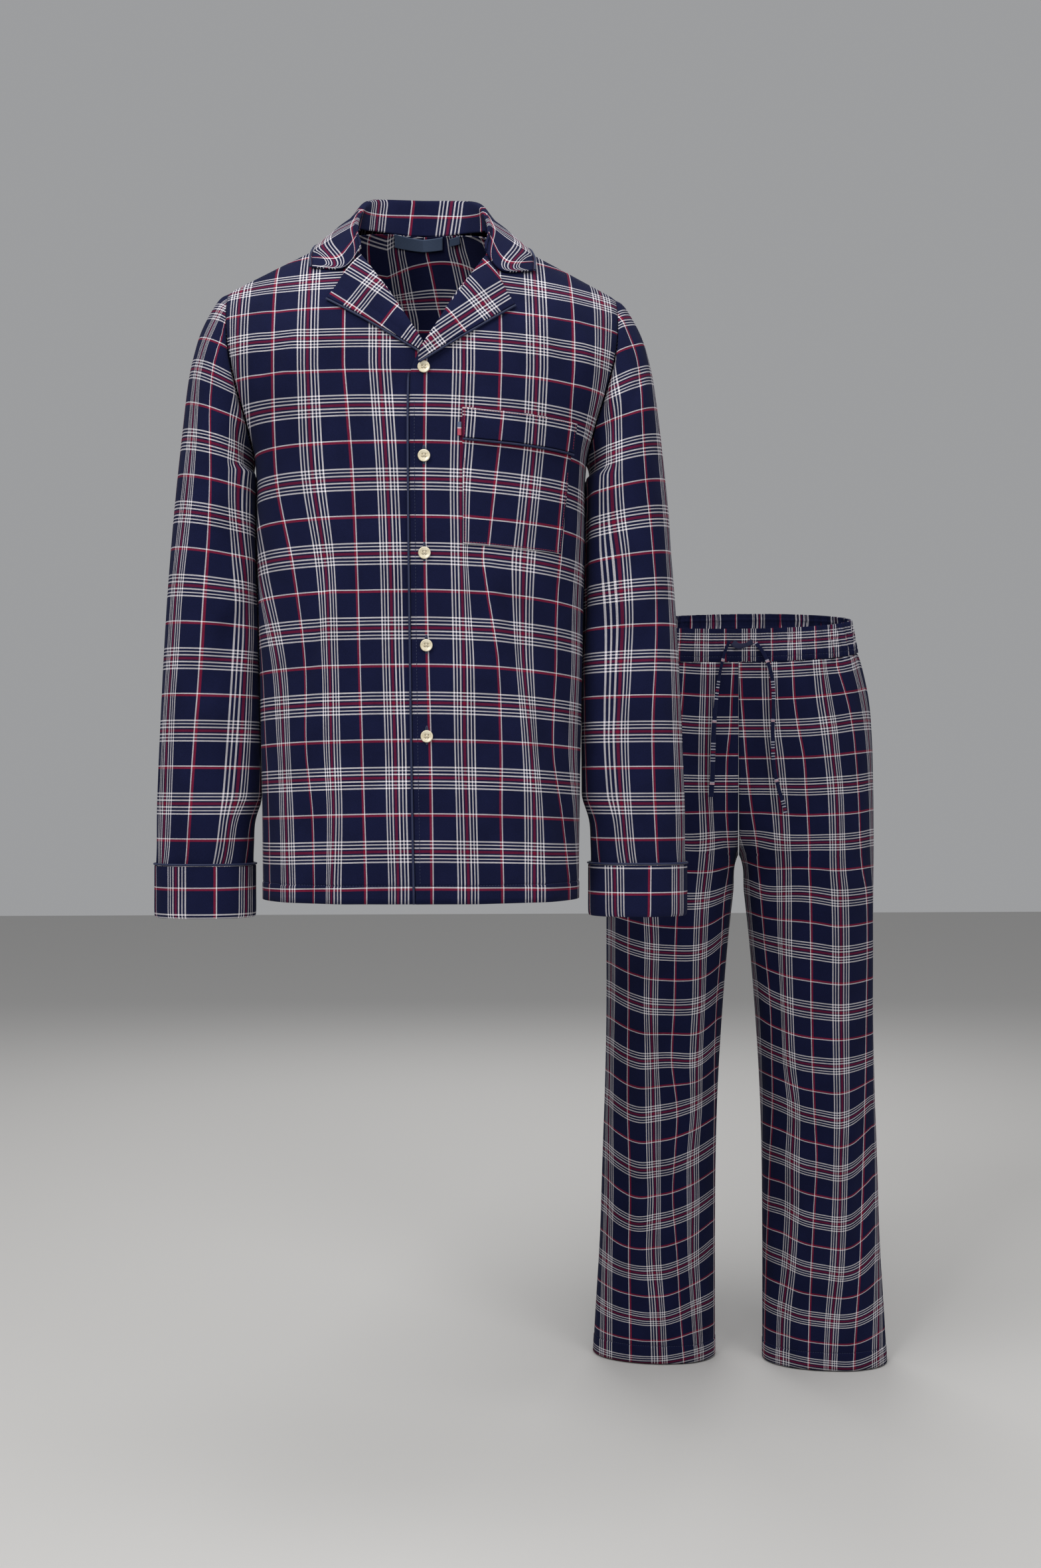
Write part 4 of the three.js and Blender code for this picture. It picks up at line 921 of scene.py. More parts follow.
for name, hand in (("left", 1), ("right", -1)):
    points = sleeve_grid(hand, SLEEVE_ROWS, 104)
    ring = np.linspace(0, len(SLEEVE), SLEEVE_ROWS)[:, None]
    closed, around = turned_uv(points, SLEEVE_LINES[name], ring)
    z, x = closed[..., 2], np.abs(closed[..., 0])
    level = z - read(SLEEVE_TILT, "tilt", z) * (x - 222)
    uvs = np.stack([around * (-hand), -read(SLEEVE_BARS, "v", level)], -1)
    piece = cloth(f"jacket_sleeve_{name}", points, uvs, CLOTH, sleeve_core(hand), ring=True, sewn=[(0, 0)])
    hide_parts(f"sleeve_{name}")


# Cuffs
# A double turn-up of the same flannel over the end of each sleeve, with piping laid along its top edge.
PIPING = 2.6
PIPING_OFF = PIPING / 2 + 0.66


def piping_material():
    """Corded navy sateen, twisted along its length."""
    material = new_material("piping")
    shader, node, link = node_tools(material)
    _, split = cloth_place(node, link)
    slant = node("Math", [(1, 0.9)], operation="MULTIPLY_ADD")
    link(split.outputs["Y"], slant.inputs[0])
    link(split.outputs["X"], slant.inputs[2])
    part = node("Math", operation="FRACT")
    link(slant.outputs["Value"], part.inputs[0])
    twist = part.outputs["Value"]
    colour = shades(node, link, twist, (0.009, 0.013, 0.04, 1), (0.02, 0.028, 0.075, 1))
    link(colour, shader.inputs["Base Color"])
    link(bump(node, link, twist, 0.35, 0.0003), shader.inputs["Normal"])
    cloth_finish(shader, 0.06)
    set_inputs(shader, [("Roughness", 0.6), ("Specular IOR Level", 0.3)])
    return material


piping = piping_material()


def pipe(name, line, node, face=(0, 0, 1)):
    made = ribbon(name, line, PIPING * 0.92, PIPING * 0.92, 12, piping, face=face)
    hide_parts(node)
    return made


def cuff_grid(hand, columns, levels):
    end = SLEEVE[-2]
    angle = np.linspace(SLEEVE_START, SLEEVE_START + 2 * np.pi, columns, endpoint=False)
    rings = []
    for z, grow in levels:
        row = (end[0] + grow, z, end[2] - grow, z, end[4] + grow, end[5] + grow, end[6])
        rings.append(sleeve_ring(row, hand, angle))
    return np.array(rings)


CUFF_ROWS, CUFF_COLUMNS, CUFF_TOP = 36, 108, -684
# height and how far the cuff stands off the end of the sleeve
CUFF_LEVELS = [
    (-740, 1.4), (-739.2, 2.2), (-736, 2.8), (-728, 3.0), (-712, 2.9), (-700, 2.9), (-690, 2.9),
    (CUFF_TOP, 2.8),
]
# Upright lines as on the sleeves, and the height of the thin line across each cuff
CUFF_LINES = {
    "right": table("ring p0 p1 p2 p3", (0, 24, 62, 105, 146), (1, 22, 62, 105, 148)),
    "left": table("ring p0 p1 p2 p3", (0, 2, 42, 83, 119), (1, 2, 42, 82, 121)),
}
CUFF_THIN_Z = {"right": -707.8, "left": -714.3}
for name, hand in (("left", 1), ("right", -1)):
    points = smooth_rows(cuff_grid(hand, CUFF_COLUMNS, CUFF_LEVELS), CUFF_ROWS)
    closed, around = turned_uv(points, CUFF_LINES[name], np.linspace(0, 1, CUFF_ROWS)[:, None])
    uvs = np.stack([around * hand + 0.5, 0.5 - (closed[..., 2] - CUFF_THIN_Z[name]) / PERIOD], -1)
    piece = cloth(f"jacket_cuff_{name}", points, uvs, DOUBLE_CLOTH, sleeve_core(hand), ring=True)
    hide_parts(f"cuff_{name}")
    rim = cuff_grid(hand, CUFF_COLUMNS, [(CUFF_TOP + PIPING_OFF, 2.9)])[0]
    rim = np.roll(rim, -CUFF_COLUMNS // 6, 0)
    pipe(f"cuff_piping_{name}", rim, f"piping_cuff_{name}")


# Collar
# Double flannel, sewn to the neck seam. It stands a little, rolls over and falls onto the shoulders, and
# ends in a notch above each lapel. Its outer edge is piped.
COLLAR = table(
    "round neck_x neck_z fold_x fold_y fold_z fall_x fall_z",
    (0, 0, 33.6, 0, 68, 73, 0, 14), (0.2, 38, 29.6, 40, 58, 70, 46, 8), (0.4, 60, 25, 60, 34, 59, 86, -8),
    (0.6, 71.8, 19.4, 68, 2, 36, 111, -2.2), (0.8, 70.6, -3, 70, -42, 8, 118, -24),
    (1, 67, -26, 66.5, -72, -23, 117, -45),
)


def collar_row(around, hand):
    at = lambda column: float(read(COLLAR, column, around, "round"))
    side = BACK if around < 0.6 else FRONT
    neck = on_body(at("neck_x"), at("neck_z"), side, 1.3)
    fold = np.array([at("fold_x"), at("fold_y"), at("fold_z")])
    fall = on_body(at("fall_x"), at("fall_z"), side, 4.2)
    away = unit(np.array([fall[0] - fold[0], fall[1] - fold[1], 0]))
    roll = 9 * float(ease((np.linalg.norm(fold - neck) + 4) / 30))
    up = np.array([0, 0, roll])
    notch = on_body(83, -49, FRONT, 4.2)
    drop = mix(mix(fold + away * roll, fall, 0.5) + up * 0.35, notch, float(ease((around - 0.72) / 0.28)))
    over = fold + away * roll * 0.45 + up * 0.3
    line = [neck, mix(neck, fold, 0.55), fold, over, fold + away * roll, drop, fall]
    return np.array(line) * np.array([hand, 1, 1])


steps = np.linspace(-1, 1, 121)
rows = np.array([collar_row(abs(k), -1 if k < 0 else 1) for k in steps])
points = smooth_rows(np.swapaxes(rows, 0, 1), 61).swapaxes(0, 1)
run = arc(points)
along = arc(points[:, 25:26], 0)
along = along - along[60] + 5 * (1 - np.minimum(run / 38, 1))
# Where the lines that cross the collar meet its fold, from the wearer's right front end round the nape,
# and how far from the neck seam the thin line along it lies
COLLAR_THIN = 22.7
COLLAR_LINES = table(
    "at u", (-212, -1.87), (-186, -1.5), (-148, -1), (-103, -0.5), (-57.5, 0), (-12, 0.5), (34.5, 1),
    (92, 1.5), (149, 2), (188, 2.5), (212, 2.8),
)
uvs = np.stack([read(COLLAR_LINES, "u", along, "at"), 0.5 - (run - COLLAR_THIN) / PERIOD_ROUND], -1)


def collar_core(points):
    return points * np.array([1.1, 1.1, 0]) + np.array([0, 0, -20])


piece = cloth("jacket_collar", points, uvs, DOUBLE_CLOTH, collar_core)
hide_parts("collar")
edge = points[:, -1] + unit(points[:, -1] - points[:, -4]) * PIPING_OFF
pipe("collar_piping", edge[::2], "piping_collar")


# Lapels
# The top of each front, doubled and turned back along the roll line, so its check runs with the roll.
LAPEL = {
    "left": ((65, -33), (-3, -143), (96, -90), (-5, -157)),
    "right": ((65, -33), (0, -134), (100, -85), (3.5, -143)),
}


def lapel_grid(shape, hand, rows, columns):
    (top_x, top_z), (low_x, low_z), (tip_x, tip_z), (end_x, end_z) = shape
    t = np.linspace(0, 1, rows)[:, None]
    s = np.linspace(0, 1, columns)[None, :]
    x = mix(mix(top_x, low_x, t), mix(tip_x, end_x, t), s)
    z = mix(mix(top_z, low_z, t), mix(tip_z, end_z, t), s)
    roll = 3.2 * np.sin(math.pi * np.minimum(s * 1.4, 1)) * (1 - 0.6 * t)
    lap = lap_lift(x, z) + 3 * ease(t * 1.6 - 0.6) if hand > 0 else 0
    return on_body(hand * x, z, FRONT, 3.6 + roll + lap)


# A crossing of two burgundy bars on each lapel, and the directions in which the check's two coordinates
# grow, in repeats for a millimetre
LAPEL_CHECK = {
    "left": ((63, -91), (-0.794 / 69, -0.608 / 69), (-0.608 / 76, 0.794 / 76)),
    "right": ((-49, -66), (-0.802 / 70, 0.598 / 70), (-0.598 / 77, -0.802 / 77)),
}
for name, hand in (("left", 1), ("right", -1)):
    points = lapel_grid(LAPEL[name], hand, 70, 40)
    crossing, grow_u, grow_v = LAPEL_CHECK[name]
    off = points[..., [0, 2]] - np.array(crossing)
    uvs = np.stack([off @ np.array(grow_u), off @ np.array(grow_v)], -1)
    piece = cloth(f"jacket_lapel_{name}", points, uvs, DOUBLE_CLOTH, body_core)
    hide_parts(f"lapel_{name}")
    edge = points[:, -1] + unit(points[:, -1] - points[:, -3]) * PIPING_OFF + np.array([0, 1.1, 0])
    pipe(f"lapel_piping_{name}", edge[::2], f"piping_lapel_{name}")


# Front edge
# Piping runs down the closing edge of the left front, from the foot of the lapel to the hem, and a row of
# stitches lies 5 mm inside it.
LAPEL_FOOT_Z = -163
points = front_grid(1, 190, 100)
points = points[points[:, 0, 2] < LAPEL_FOOT_Z]
edge = points[:, 0] + unit(points[:, 0] - points[:, 2]) * PIPING_OFF + np.array([0, 0.2, 0])
pipe("front_piping", edge[::2], "piping_front", face=(0, 1, 0))
z = np.linspace(-700, -190, 200)
x = read(LEFT_EDGE, "x", z) + 5
line = on_body(x, z, FRONT, lap_lift(x, z) + 0.25)
stitches("front_edge_stitches", line, on_body(x, z, FRONT, lap_lift(x, z) + 1.25) - line, navy_thread)


# Chest pocket
# A patch of flannel on the left front, cut the other way up, with a doubled band across its top that
# ends in piping, and a small woven tab at its inner edge, which is left plain.
POCKET_TOP, POCKET_LOW = -224, -345
POCKET_BAND_TOP, POCKET_BAND_LOW = -204, -235


def patch_grid(top, low, rows, columns, lift):
    z = np.linspace(low, top, rows)[:, None]
    t = (z - POCKET_LOW) / (POCKET_TOP - POCKET_LOW)
    x = mix(mix(41.5, 40.5, t), mix(145.5, 158.5, t), np.linspace(0, 1, columns)[None, :])
    height = z - 0.05 * (x - 40.5)
    return on_body(x, height, FRONT, lift + lap_lift(x, height))


POCKET_LINES = table(
    "z p0 p1 p2 p3",
    (-345, 39, 68.3, 106.8, 142.5), (-285, 38.4, 74.9, 113, 148), (-245, 40.7, 79.6, 116.7, 153),
    (-211, 43, 83.1, 118.9, 157),
)


def pocket_uv(points):
    x, z = points[..., 0], points[..., 2]
    across = lines_across(POCKET_LINES, z, x, 0.0, 4)
    return np.stack([-across, read(BARS, "v", z + 0.06 * (x - 40))], -1)


points = patch_grid(POCKET_TOP, POCKET_LOW, 60, 60, 1.9)
piece = cloth("jacket_pocket", points, pocket_uv(points), CLOTH, body_core)
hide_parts("pocket")
out = outward(points, body_core)[0]
sides = [(slice(-16, 0, -1), 1), (1, slice(1, -1)), (slice(1, -16), -2)]
route = [np.concatenate([grid[side] for side in sides]) for grid in (points, out)]
stitches("pocket_stitches", *route, red_thread, pitch=2.9, length=2)
points = patch_grid(POCKET_BAND_TOP, POCKET_BAND_LOW, 24, 60, 5.6)
out = outward(points, body_core)[0]
sides = [(slice(1, -1), 1), (-2, slice(1, -1)), (slice(-2, 0, -1), -2)]
route = [np.concatenate([grid[side] for side in sides]) for grid in (points, out)]
stitches("pocket_band_stitches", *route, red_thread, pitch=2.9, length=2)
piece = cloth("jacket_pocket_band", points, pocket_uv(points), DOUBLE_CLOTH, body_core)
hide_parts("pocket_band")
level = POCKET_BAND_LOW - PIPING_OFF
pipe("pocket_piping", patch_grid(level, level - 1, 2, 40, 4.8)[1], "piping_pocket")


def plain_cloth(name, colour, roughness=0.75):
    """Smooth woven cloth in one colour with a fine rib."""
    material = new_material(name)
    shader, node, link = node_tools(material)
    place = node("TexCoord")
    ribs = node("TexWave", [("Scale", 420), ("Distortion", 0.6)], wave_type="BANDS", bands_direction="Z")
    link(place.outputs["Object"], ribs.inputs["Vector"])
    rib = ribs.outputs["Fac"]
    shade = shades(node, link, rib, tinted(colour[:3], 0.75), tinted(colour[:3], 1.2))
    link(shade, shader.inputs["Base Color"])
    link(bump(node, link, rib, 0.3, 0.0002), shader.inputs["Normal"])
    set_inputs(shader, [("Roughness", roughness)])
    return material


def tab_material():
    """Plain woven blocks from top to bottom: grey blue, pale, red."""
    material = new_material("woven_tab")
    shader, node, link = node_tools(material)
    _, split = cloth_place(node, link)
    red, pale, blue = (0.42, 0.06, 0.1, 1), (0.5, 0.42, 0.45, 1), (0.09, 0.12, 0.2, 1)
    ramp = stripes(node, [(0, red), (0.5, pale), (0.6, blue)])
    link(split.outputs["Y"], ramp.inputs["Fac"])
    link(ramp.outputs["Color"], shader.inputs["Base Color"])
    set_inputs(shader, [("Roughness", 0.7)])
    return material


def flat_patch(name, points, material, node):
    rows, columns = points.shape[:2]
    v = np.broadcast_to(np.linspace(0, 1, rows)[:, None], (rows, columns))
    u = np.broadcast_to(np.linspace(0, 1, columns)[None, :], (rows, columns))
    piece = cloth(name, points, np.stack([u, v], -1), CLOTH, body_core, material=material)
    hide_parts(node)
    return piece


x, z = np.meshgrid(np.linspace(35.4, 39.6, 9), np.linspace(-233, -219, 25))
points = on_body(x, z, FRONT, 2.2 + lap_lift(x, z))
piece = flat_patch("jacket_tab", points, tab_material(), "pocket_tab")


# Neck label and size tab
# Plain woven navy, sewn inside the back of the neck below the seam. Both are bare. Their navy is partly their
# own lighter navy and partly painted light, raised against the shade inside the neck.
# Lighter navy than the jacket's: partly the labels' own colour, partly painted light that makes up for the
# shade inside the neck
label_cloth_painted_light = plain_cloth("label", (0.05, 0.078, 0.14, 1))
for name, node_name, box, flat in (
    ("jacket_neck_label", "neck_label", (-33.7, 23.6, 19, 31), (0.06, 0.016)),
    ("jacket_size_tab", "size_tab", (32, 43.4, 21, 28), (0.0125, 0.012)),
):
    x, z = np.meshgrid(np.linspace(box[0], box[1], 40), np.linspace(box[2], box[3], 16))
    piece = flat_patch(name, on_body(x, z, BACK, -2.4), label_cloth_painted_light, node_name)


# Buttons
# Five cream four-hole shirt buttons on the right front, seen through the left front's buttonholes, each
# with a raised rim, a dished middle and crossed cream thread.
BUTTONS = [(0.7, -162), (1, -254.5), (1.4, -355), (3.4, -451), (4, -545.7)]
BUTTON_RADIUS = 6.45
# share of the radius and height, from the underside round the rim to the dished middle
BUTTON_PROFILE = [
    (0.86, 0), (0.97, 0.5), (1.0, 1.2), (0.985, 1.9), (0.93, 2.35), (0.84, 2.4), (0.74, 2.1),
    (0.62, 1.75),
]
HOLE_AT, HOLE_RADIUS = 1.45, 0.72


def button_material():
    material = new_material("button")
    shader, node, link = node_tools(material)
    ramp = node("ValToRGB")
    dark, light = ramp.color_ramp.elements
    dark.position, dark.color = 0.3, (0.56, 0.48, 0.31, 1)
    light.position, light.color = 0.75, (0.82, 0.76, 0.6, 1)
    link(noise(node, link, 190, 4), ramp.inputs["Fac"])
    link(ramp.outputs["Color"], shader.inputs["Base Color"])
    set_inputs(shader, [("Roughness", 0.3), ("Coat Weight", 0.3)])
    return material


def button_mesh(name):
    """A disc of rings with four real holes through it."""
    size = 96
    angle = np.linspace(0, 2 * np.pi, size, endpoint=False)
    rings = []
    for share, h in BUTTON_PROFILE:
        radius = share * BUTTON_RADIUS
        rings.append(np.stack([radius * np.cos(angle), radius * np.sin(angle), np.full(size, h)], -1))
    mesh = bpy.data.meshes.new(name)
    bm = bmesh.new()

    def edges_of(loop):
        return [bm.edges.get(pair) for pair in zip(loop, loop[1:] + loop[:1])]

    made = [[bm.verts.new(p * MM) for p in ring] for ring in rings]
    for a, b in zip(made[:-1], made[1:]):
        for j in range(size):
            bm.faces.new([a[j], a[(j + 1) % size], b[(j + 1) % size], b[j]])
    top_edges, low_edges = edges_of(made[-1]), edges_of(made[0])
    sides = 16
    turn = np.linspace(0, 2 * np.pi, sides, endpoint=False)
    for cx, cy in ((1, 1), (-1, 1), (-1, -1), (1, -1)):
        loops = []
        for h in (BUTTON_PROFILE[-1][1], BUTTON_PROFILE[0][1]):
            ring = []
            for a in turn:
                x, y = cx * HOLE_AT + HOLE_RADIUS * math.cos(a), cy * HOLE_AT + HOLE_RADIUS * math.sin(a)
                ring.append(bm.verts.new(Vector((x, y, h)) * MM))
            loops.append(ring)
        for j in range(sides):
            k = (j + 1) % sides
            bm.faces.new([loops[0][j], loops[0][k], loops[1][k], loops[1][j]])
        top_edges += edges_of(loops[0])
        low_edges += edges_of(loops[1])
    bmesh.ops.triangle_fill(bm, edges=top_edges, use_beauty=True)
    bmesh.ops.triangle_fill(bm, edges=low_edges, use_beauty=True)
    bmesh.ops.recalc_face_normals(bm, faces=bm.faces)
    bm.to_mesh(mesh)
    bm.free()
    return mesh


def buttonhole(number, x, z):
    """Upright and bound with satin stitch, behind its button; a little of it shows past the rim. Its slit is
    a near-black strip of painted shade.
    """
    turn = np.linspace(0, 2 * np.pi, 49)
    reach = 9.6 * power_of(np.cos(turn), 0.7)
    u, v = x + 1.25 * np.sin(turn), z + 1.2 + reach
    line = on_body(u, v, FRONT, lap_lift(u, v) + 0.42)
    bound = ribbon(f"buttonhole_{number}", line, 1.15, 0.7, 8, navy_thread)
    # The slit: a near-black strip laid along it as painted shade, where it opens onto the cloth below
    v = z + 1.2 + np.linspace(-8.6, 8.6, 24)
    line = on_body(x, v, FRONT, lap_lift(x, v) + 0.3)
    slit_shade = ribbon(f"buttonhole_slit_shade_{number}", line, 1.5, 0.4, 8, painted_slit_shade)


# Near-black material for the buttonhole slits: painted shade, not a colour of the cloth
painted_slit_shade = thread_material("painted_slit_shade", (0.002, 0.002, 0.004))
cream = button_material()
thread = plain_cloth("cream_thread", (0.62, 0.55, 0.42, 1), 0.6)
for number, (x, z) in enumerate(BUTTONS, 1):
    lift = float(lap_lift(x, z)) + 0.85
    base = on_body(x, z, FRONT, lift)
    facing = Vector(on_body(x, z, FRONT, lift + 1) - base)
    if number > 1:
        buttonhole(number, x, z)
    button = add_piece(f"shirt_button_{number}", button_mesh(f"shirt_button_{number}"), cream)
    button.location = Vector(base) * MM
    button.rotation_euler = facing.to_track_quat("Z", "Y").to_euler()
    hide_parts(f"button_{number}")
    frame_of = facing.to_track_quat("Z", "Y").to_matrix()
    for k, cross in enumerate((1, -1)):
        ends = [(-HOLE_AT, 0.9), (-1.3, 1.9), (0, 2.25 + 0.25 * k), (1.3, 1.9), (HOLE_AT, 0.9)]
        line = [list(Vector(base) + frame_of @ Vector((s, s * cross, h))) for s, h in ends]
        name = f"button_thread_{number}_{k + 1}"
        strand = ribbon(name, smooth_line(line, 6), 0.75, 0.75, 8, thread, face=(0, 0, 1))


# Trousers
# Four leg panels in flannel, gathered into an elastic waistband that is lower at the front than at the
# back. They stand behind the jacket, turned to face the same viewer.
LEG = table(
    "z out inn front back",
    (-1400, 206, 33, 60, 64), (-1330, 202, 33, 62, 67), (-1240, 196.5, 33, 66, 70),
    (-1120, 192.5, 32, 70, 75), (-1020, 189, 29, 74, 80), (-920, 187, 23, 78, 86),
    (-820, 187, 15, 85, 94), (-750, 187, 7.5, 93, 104), (-696, 187.5, 1, 100, 112),
    (-655, 187.5, -36, 105, 117), (-600, 187, -100, 110, 120), (-540, 185.5, -160, 114, 121),
    (-480, 181.2, -181.2, 115, 119), (-430, 171, -171, 114, 115), (-395, 160, -160, 111, 112),
    (-350, 153, -153, 109, 110),
)
# in the same order as the jacket's folds
LEG_FOLDS = {
    -1: [
        (-1, -420, -640, 50, 42, 8, 2.2), (-1, -420, -620, 117, 130, 8, 2.2),
        (-1, -420, -720, 17, 24, 8, -2), (-1, -600, -1000, 134, 128, 9, 2),
        (-1, -940, -1300, 58, 66, 9, 2), (-1, -1040, -1430, 112, 118, 8, -2),
        (-1, -1000, -1250, 164, 158, 8, -2.4), (-1, -760, -960, 94, 104, 9, -1.8),
        (1, -430, -700, 60, 70, 9, 2.2), (1, -800, -1200, 140, 132, 9, -2),
        (-1, -560, -1330, 128, 134, 17, 5), (-1, -640, -1430, 54, 76, 16, 5),
        (1, -600, -1380, 112, 128, 19, 6), (1, -760, -1440, 66, 70, 15, 4),
    ],
    1: [
        (-1, -420, -620, 62, 58, 8, 2.2), (-1, -420, -580, 100, 114, 8, -2.2),
        (-1, -425, -570, 140, 160, 8, 2), (-1, -1010, -1270, 174, 162, 8, -3.4),
        (-1, -1000, -1240, 160, 150, 9, 2.2), (-1, -560, -900, 116, 138, 9, 1.9),
        (-1, -900, -1260, 84, 90, 10, 2.2), (-1, -1100, -1430, 58, 64, 8, -2),
        (-1, -700, -980, 44, 56, 9, -1.8), (1, -430, -720, 64, 78, 9, 2.2),
        (1, -820, -1240, 60, 66, 9, -2), (-1, -700, -1430, 62, 84, 17, 6),
        (-1, -620, -1250, 132, 140, 18, 4), (1, -640, -1440, 96, 104, 18, 6),
        (1, -590, -1100, 146, 150, 15, 4),
    ],
}
LEG_SQUARENESS = 2.25
LEG_POWER = 2 / LEG_SQUARENESS
SIDE_SEAM_TOP = -409.4
# how the waist seam drops at the middle of the front and rises at the middle of the back
WAIST_TILT = {-1: -21, 1: 14}
TROUSERS_PERIOD = 80
LEG_HEM = 24
LEG_END = -1400


def leg_grid(hand, side, rows, columns):
    near = LEG_HEM + NEAR_STITCHES
    level = np.linspace(0, SIDE_SEAM_TOP - LEG_END, rows - len(near))
    level = np.sort(np.concatenate([level, near]))[:, None] + LEG_END
    even = np.linspace(0, 1, columns)[None, :]
    tilt = WAIST_TILT[side] * np.sin(math.pi / 2 * even)
    z = level + tilt * ease((level + 560) / (SIDE_SEAM_TOP + 560))
    out, inn = read(LEG, "out", z), read(LEG, "inn", z)
    middle, half = (out + inn) / 2, (out - inn) / 2
    stop = np.maximum((SEAM_GAP - middle) / half, -1)
    angle = np.arccos(power_of(stop, LEG_SQUARENESS / 2)) * even
    x = middle + half * power_of(np.cos(angle), LEG_POWER)
    round_off = np.maximum(np.sin(angle), 0) ** LEG_POWER
    depth = read(LEG, "front" if side < 0 else "back", z) * round_off
    fold = fold_height(LEG_FOLDS[hand], side, x, z) + 1.1 * ripple(x + 70 * hand, 0.8 * z + 90 * side)
    fold = fold * round_off * ease((1 - even) * 9 + 0.15)
    fade = ease((z + 505) / (SIDE_SEAM_TOP + 505)) * np.sin(math.pi * even) ** 2
    gather = 2.6 * fade * np.cos(2 * np.pi * (3 * even + 0.13))
    gather = gather + 1.1 * fade**2 * np.sin(2 * np.pi * (13 * even**1.1))
    return np.stack([hand * x, side * (depth + fold + gather + SEAM_GAP / 2), z], -1)


def leg_core(hand):
    def core(points):
        z = points[..., 2]
        middle = np.maximum((read(LEG, "out", z) + read(LEG, "inn", z)) / 2, 0)
        return np.stack([hand * middle, np.zeros_like(z), z], -1)
    return core


def placed(core):
    """The same core for points that are already turned and placed in the set."""
    def moved(points):
        return in_set(core(turned(points - np.array(TROUSERS_AT), -TROUSERS_TURN)))
    return moved


# Where the check's upright lines run on the front of each leg: for each height, the x of every half repeat
LEG_LINES = {
    "left": table(
        "z p0 p1 p2 p3 p4",
        (-435, 2.3, 42.4, 72.1, 111.8, 133), (-480, 4.2, 43.5, 74.4, 117, 147),
        (-520, 7.3, 45, 80.1, 123.2, 155), (-559, 10.1, 49, 87.3, 127.1, 159.1),
        (-597, 13.7, 53, 90.1, 131.1, 161.9), (-635, 18.3, 56.5, 92.6, 132.8, 163.7),
        (-672, 23.8, 58.6, 94.3, 133.5, 164.9), (-710, 26.8, 60.9, 94.9, 134.1, 168),
        (-745, 30, 60.9, 96.5, 136.7, 174.6), (-820, 36.3, 61.1, 98.1, 138.3, 176.5),
        (-900, 43.6, 63.5, 98.8, 138.6, 175.4), (-977, 46, 67, 100.4, 139.7, 174.2),
        (-1040, 46.6, 74.8, 102.5, 140.5, 172.7), (-1110, 43.3, 72.6, 105.9, 138.4, 170.8),
        (-1180, 40.8, 72.7, 102.7, 137.2, 168.5), (-1260, 38, 68.1, 99.1, 134, 165.4),
        (-1325, 36.5, 60.6, 97, 127.5, 161), (-1387, 35.5, 58.3, 96, 124.4, 157),
    ),
    "right": table(
        "z p0 p1 p2 p3 p4",
        (-435, -140, -108, -72.9, -41.4, -7.6), (-475, -146, -111.5, -75.4, -42, -9.7),
        (-515, -150, -115, -78.3, -42.8, -11.5), (-559, -151, -118, -79, -43.5, -15.8),
        (-597, -151, -120, -79.5, -43.5, -16.8), (-635, -151, -121, -80, -41.7, -16.7),
        (-672, -151, -122, -80.3, -40.5, -14.5), (-706, -151, -122, -80.8, -43.8, -12.6),
        (-753, -151, -121.6, -83, -48.8, -19.2), (-815, -151.3, -118.5, -86, -51.5, -23.3),
        (-897, -151.5, -120.1, -87.8, -53, -30), (-975, -152.6, -117.8, -91.6, -56.7, -33),
        (-1045, -152.8, -116.8, -84, -58.3, -33), (-1110, -151, -116, -87.3, -63.6, -34),
        (-1166, -150, -114.4, -90.3, -62.8, -34), (-1249, -151.2, -117, -84, -63.8, -34),
        (-1327, -150.3, -111, -80, -59.2, -34), (-1395, -149.5, -108, -75.4, -54.9, -34),
    ),
}
# Heights of the burgundy bars at five places across each front, from near the side seam to near the inseam
BAR_PLACES = np.array([0.15, 0.38, 0.53, 0.7, 0.88])
LEG_BARS = {
    "left": table(
        "v s0 s1 s2 s3 s4",
        (1, -344, -352, -356, -359, -361), (0, -421, -430, -434, -437.5, -440),
        (-1, -507, -510, -514.5, -518.5, -520), (-2, -591, -595, -597, -599, -598.5),
        (-3, -669, -673, -674, -674.5, -669), (-4, -748, -750, -744, -745, -738),
        (-5, -824, -827, -821.5, -815, -810), (-6, -904, -907, -903, -893, -880),
        (-7, -975, -980, -978, -968, -961), (-8, -1035, -1053.5, -1049, -1036, -1031),
        (-9, -1103, -1126, -1122, -1109.5, -1107), (-10, -1171, -1196, -1193.5, -1180, -1179),
        (-11, -1244, -1266, -1262.5, -1251.5, -1248), (-12, -1319, -1331.5, -1330, -1323.5, -1320),
        (-13, -1387, -1397, -1395, -1391, -1391), (-14, -1457, -1467, -1465, -1461, -1461),
    ),
    "right": table(
        "v s0 s1 s2 s3 s4",
        (1, -345, -348, -350, -353, -355), (0, -425, -427, -429, -431.5, -435),
        (-1, -503, -507, -510, -512.5, -516), (-2, -585, -590, -592, -594, -595),
        (-3, -664, -670, -672, -675, -671), (-4, -744, -750, -755.5, -754.5, -746),
        (-5, -810.5, -822, -827.5, -825, -807), (-6, -884, -898, -903, -899.5, -884),
        (-7, -963, -977, -976, -976, -960), (-8, -1036, -1052, -1048, -1036.5, -1026),
        (-9, -1111, -1128.5, -1126, -1112, -1102), (-10, -1187, -1205, -1199, -1185, -1174),
        (-11, -1264, -1273, -1272, -1256.5, -1244), (-12, -1330, -1336.5, -1338, -1324, -1319),
        (-13, -1399, -1400, -1399, -1393, -1390), (-14, -1469, -1470, -1469, -1463, -1460),
    ),
}


def smooth_across(places, values, at):
    """A smooth curve through a value at each place, read at any share of the width."""
    last = len(places) - 1
    at = np.clip(at, places[0], places[-1])
    row = np.clip(np.searchsorted(places, at, side="right") - 1, 0, last - 1)
    a, b, c, d = (np.take_along_axis(values, np.clip(row + k, 0, last)[None], 0)[0] for k in (-1, 0, 1, 2))
    t = (at - places[row]) / (places[row + 1] - places[row])
    return curve(a, b, c, d, t)


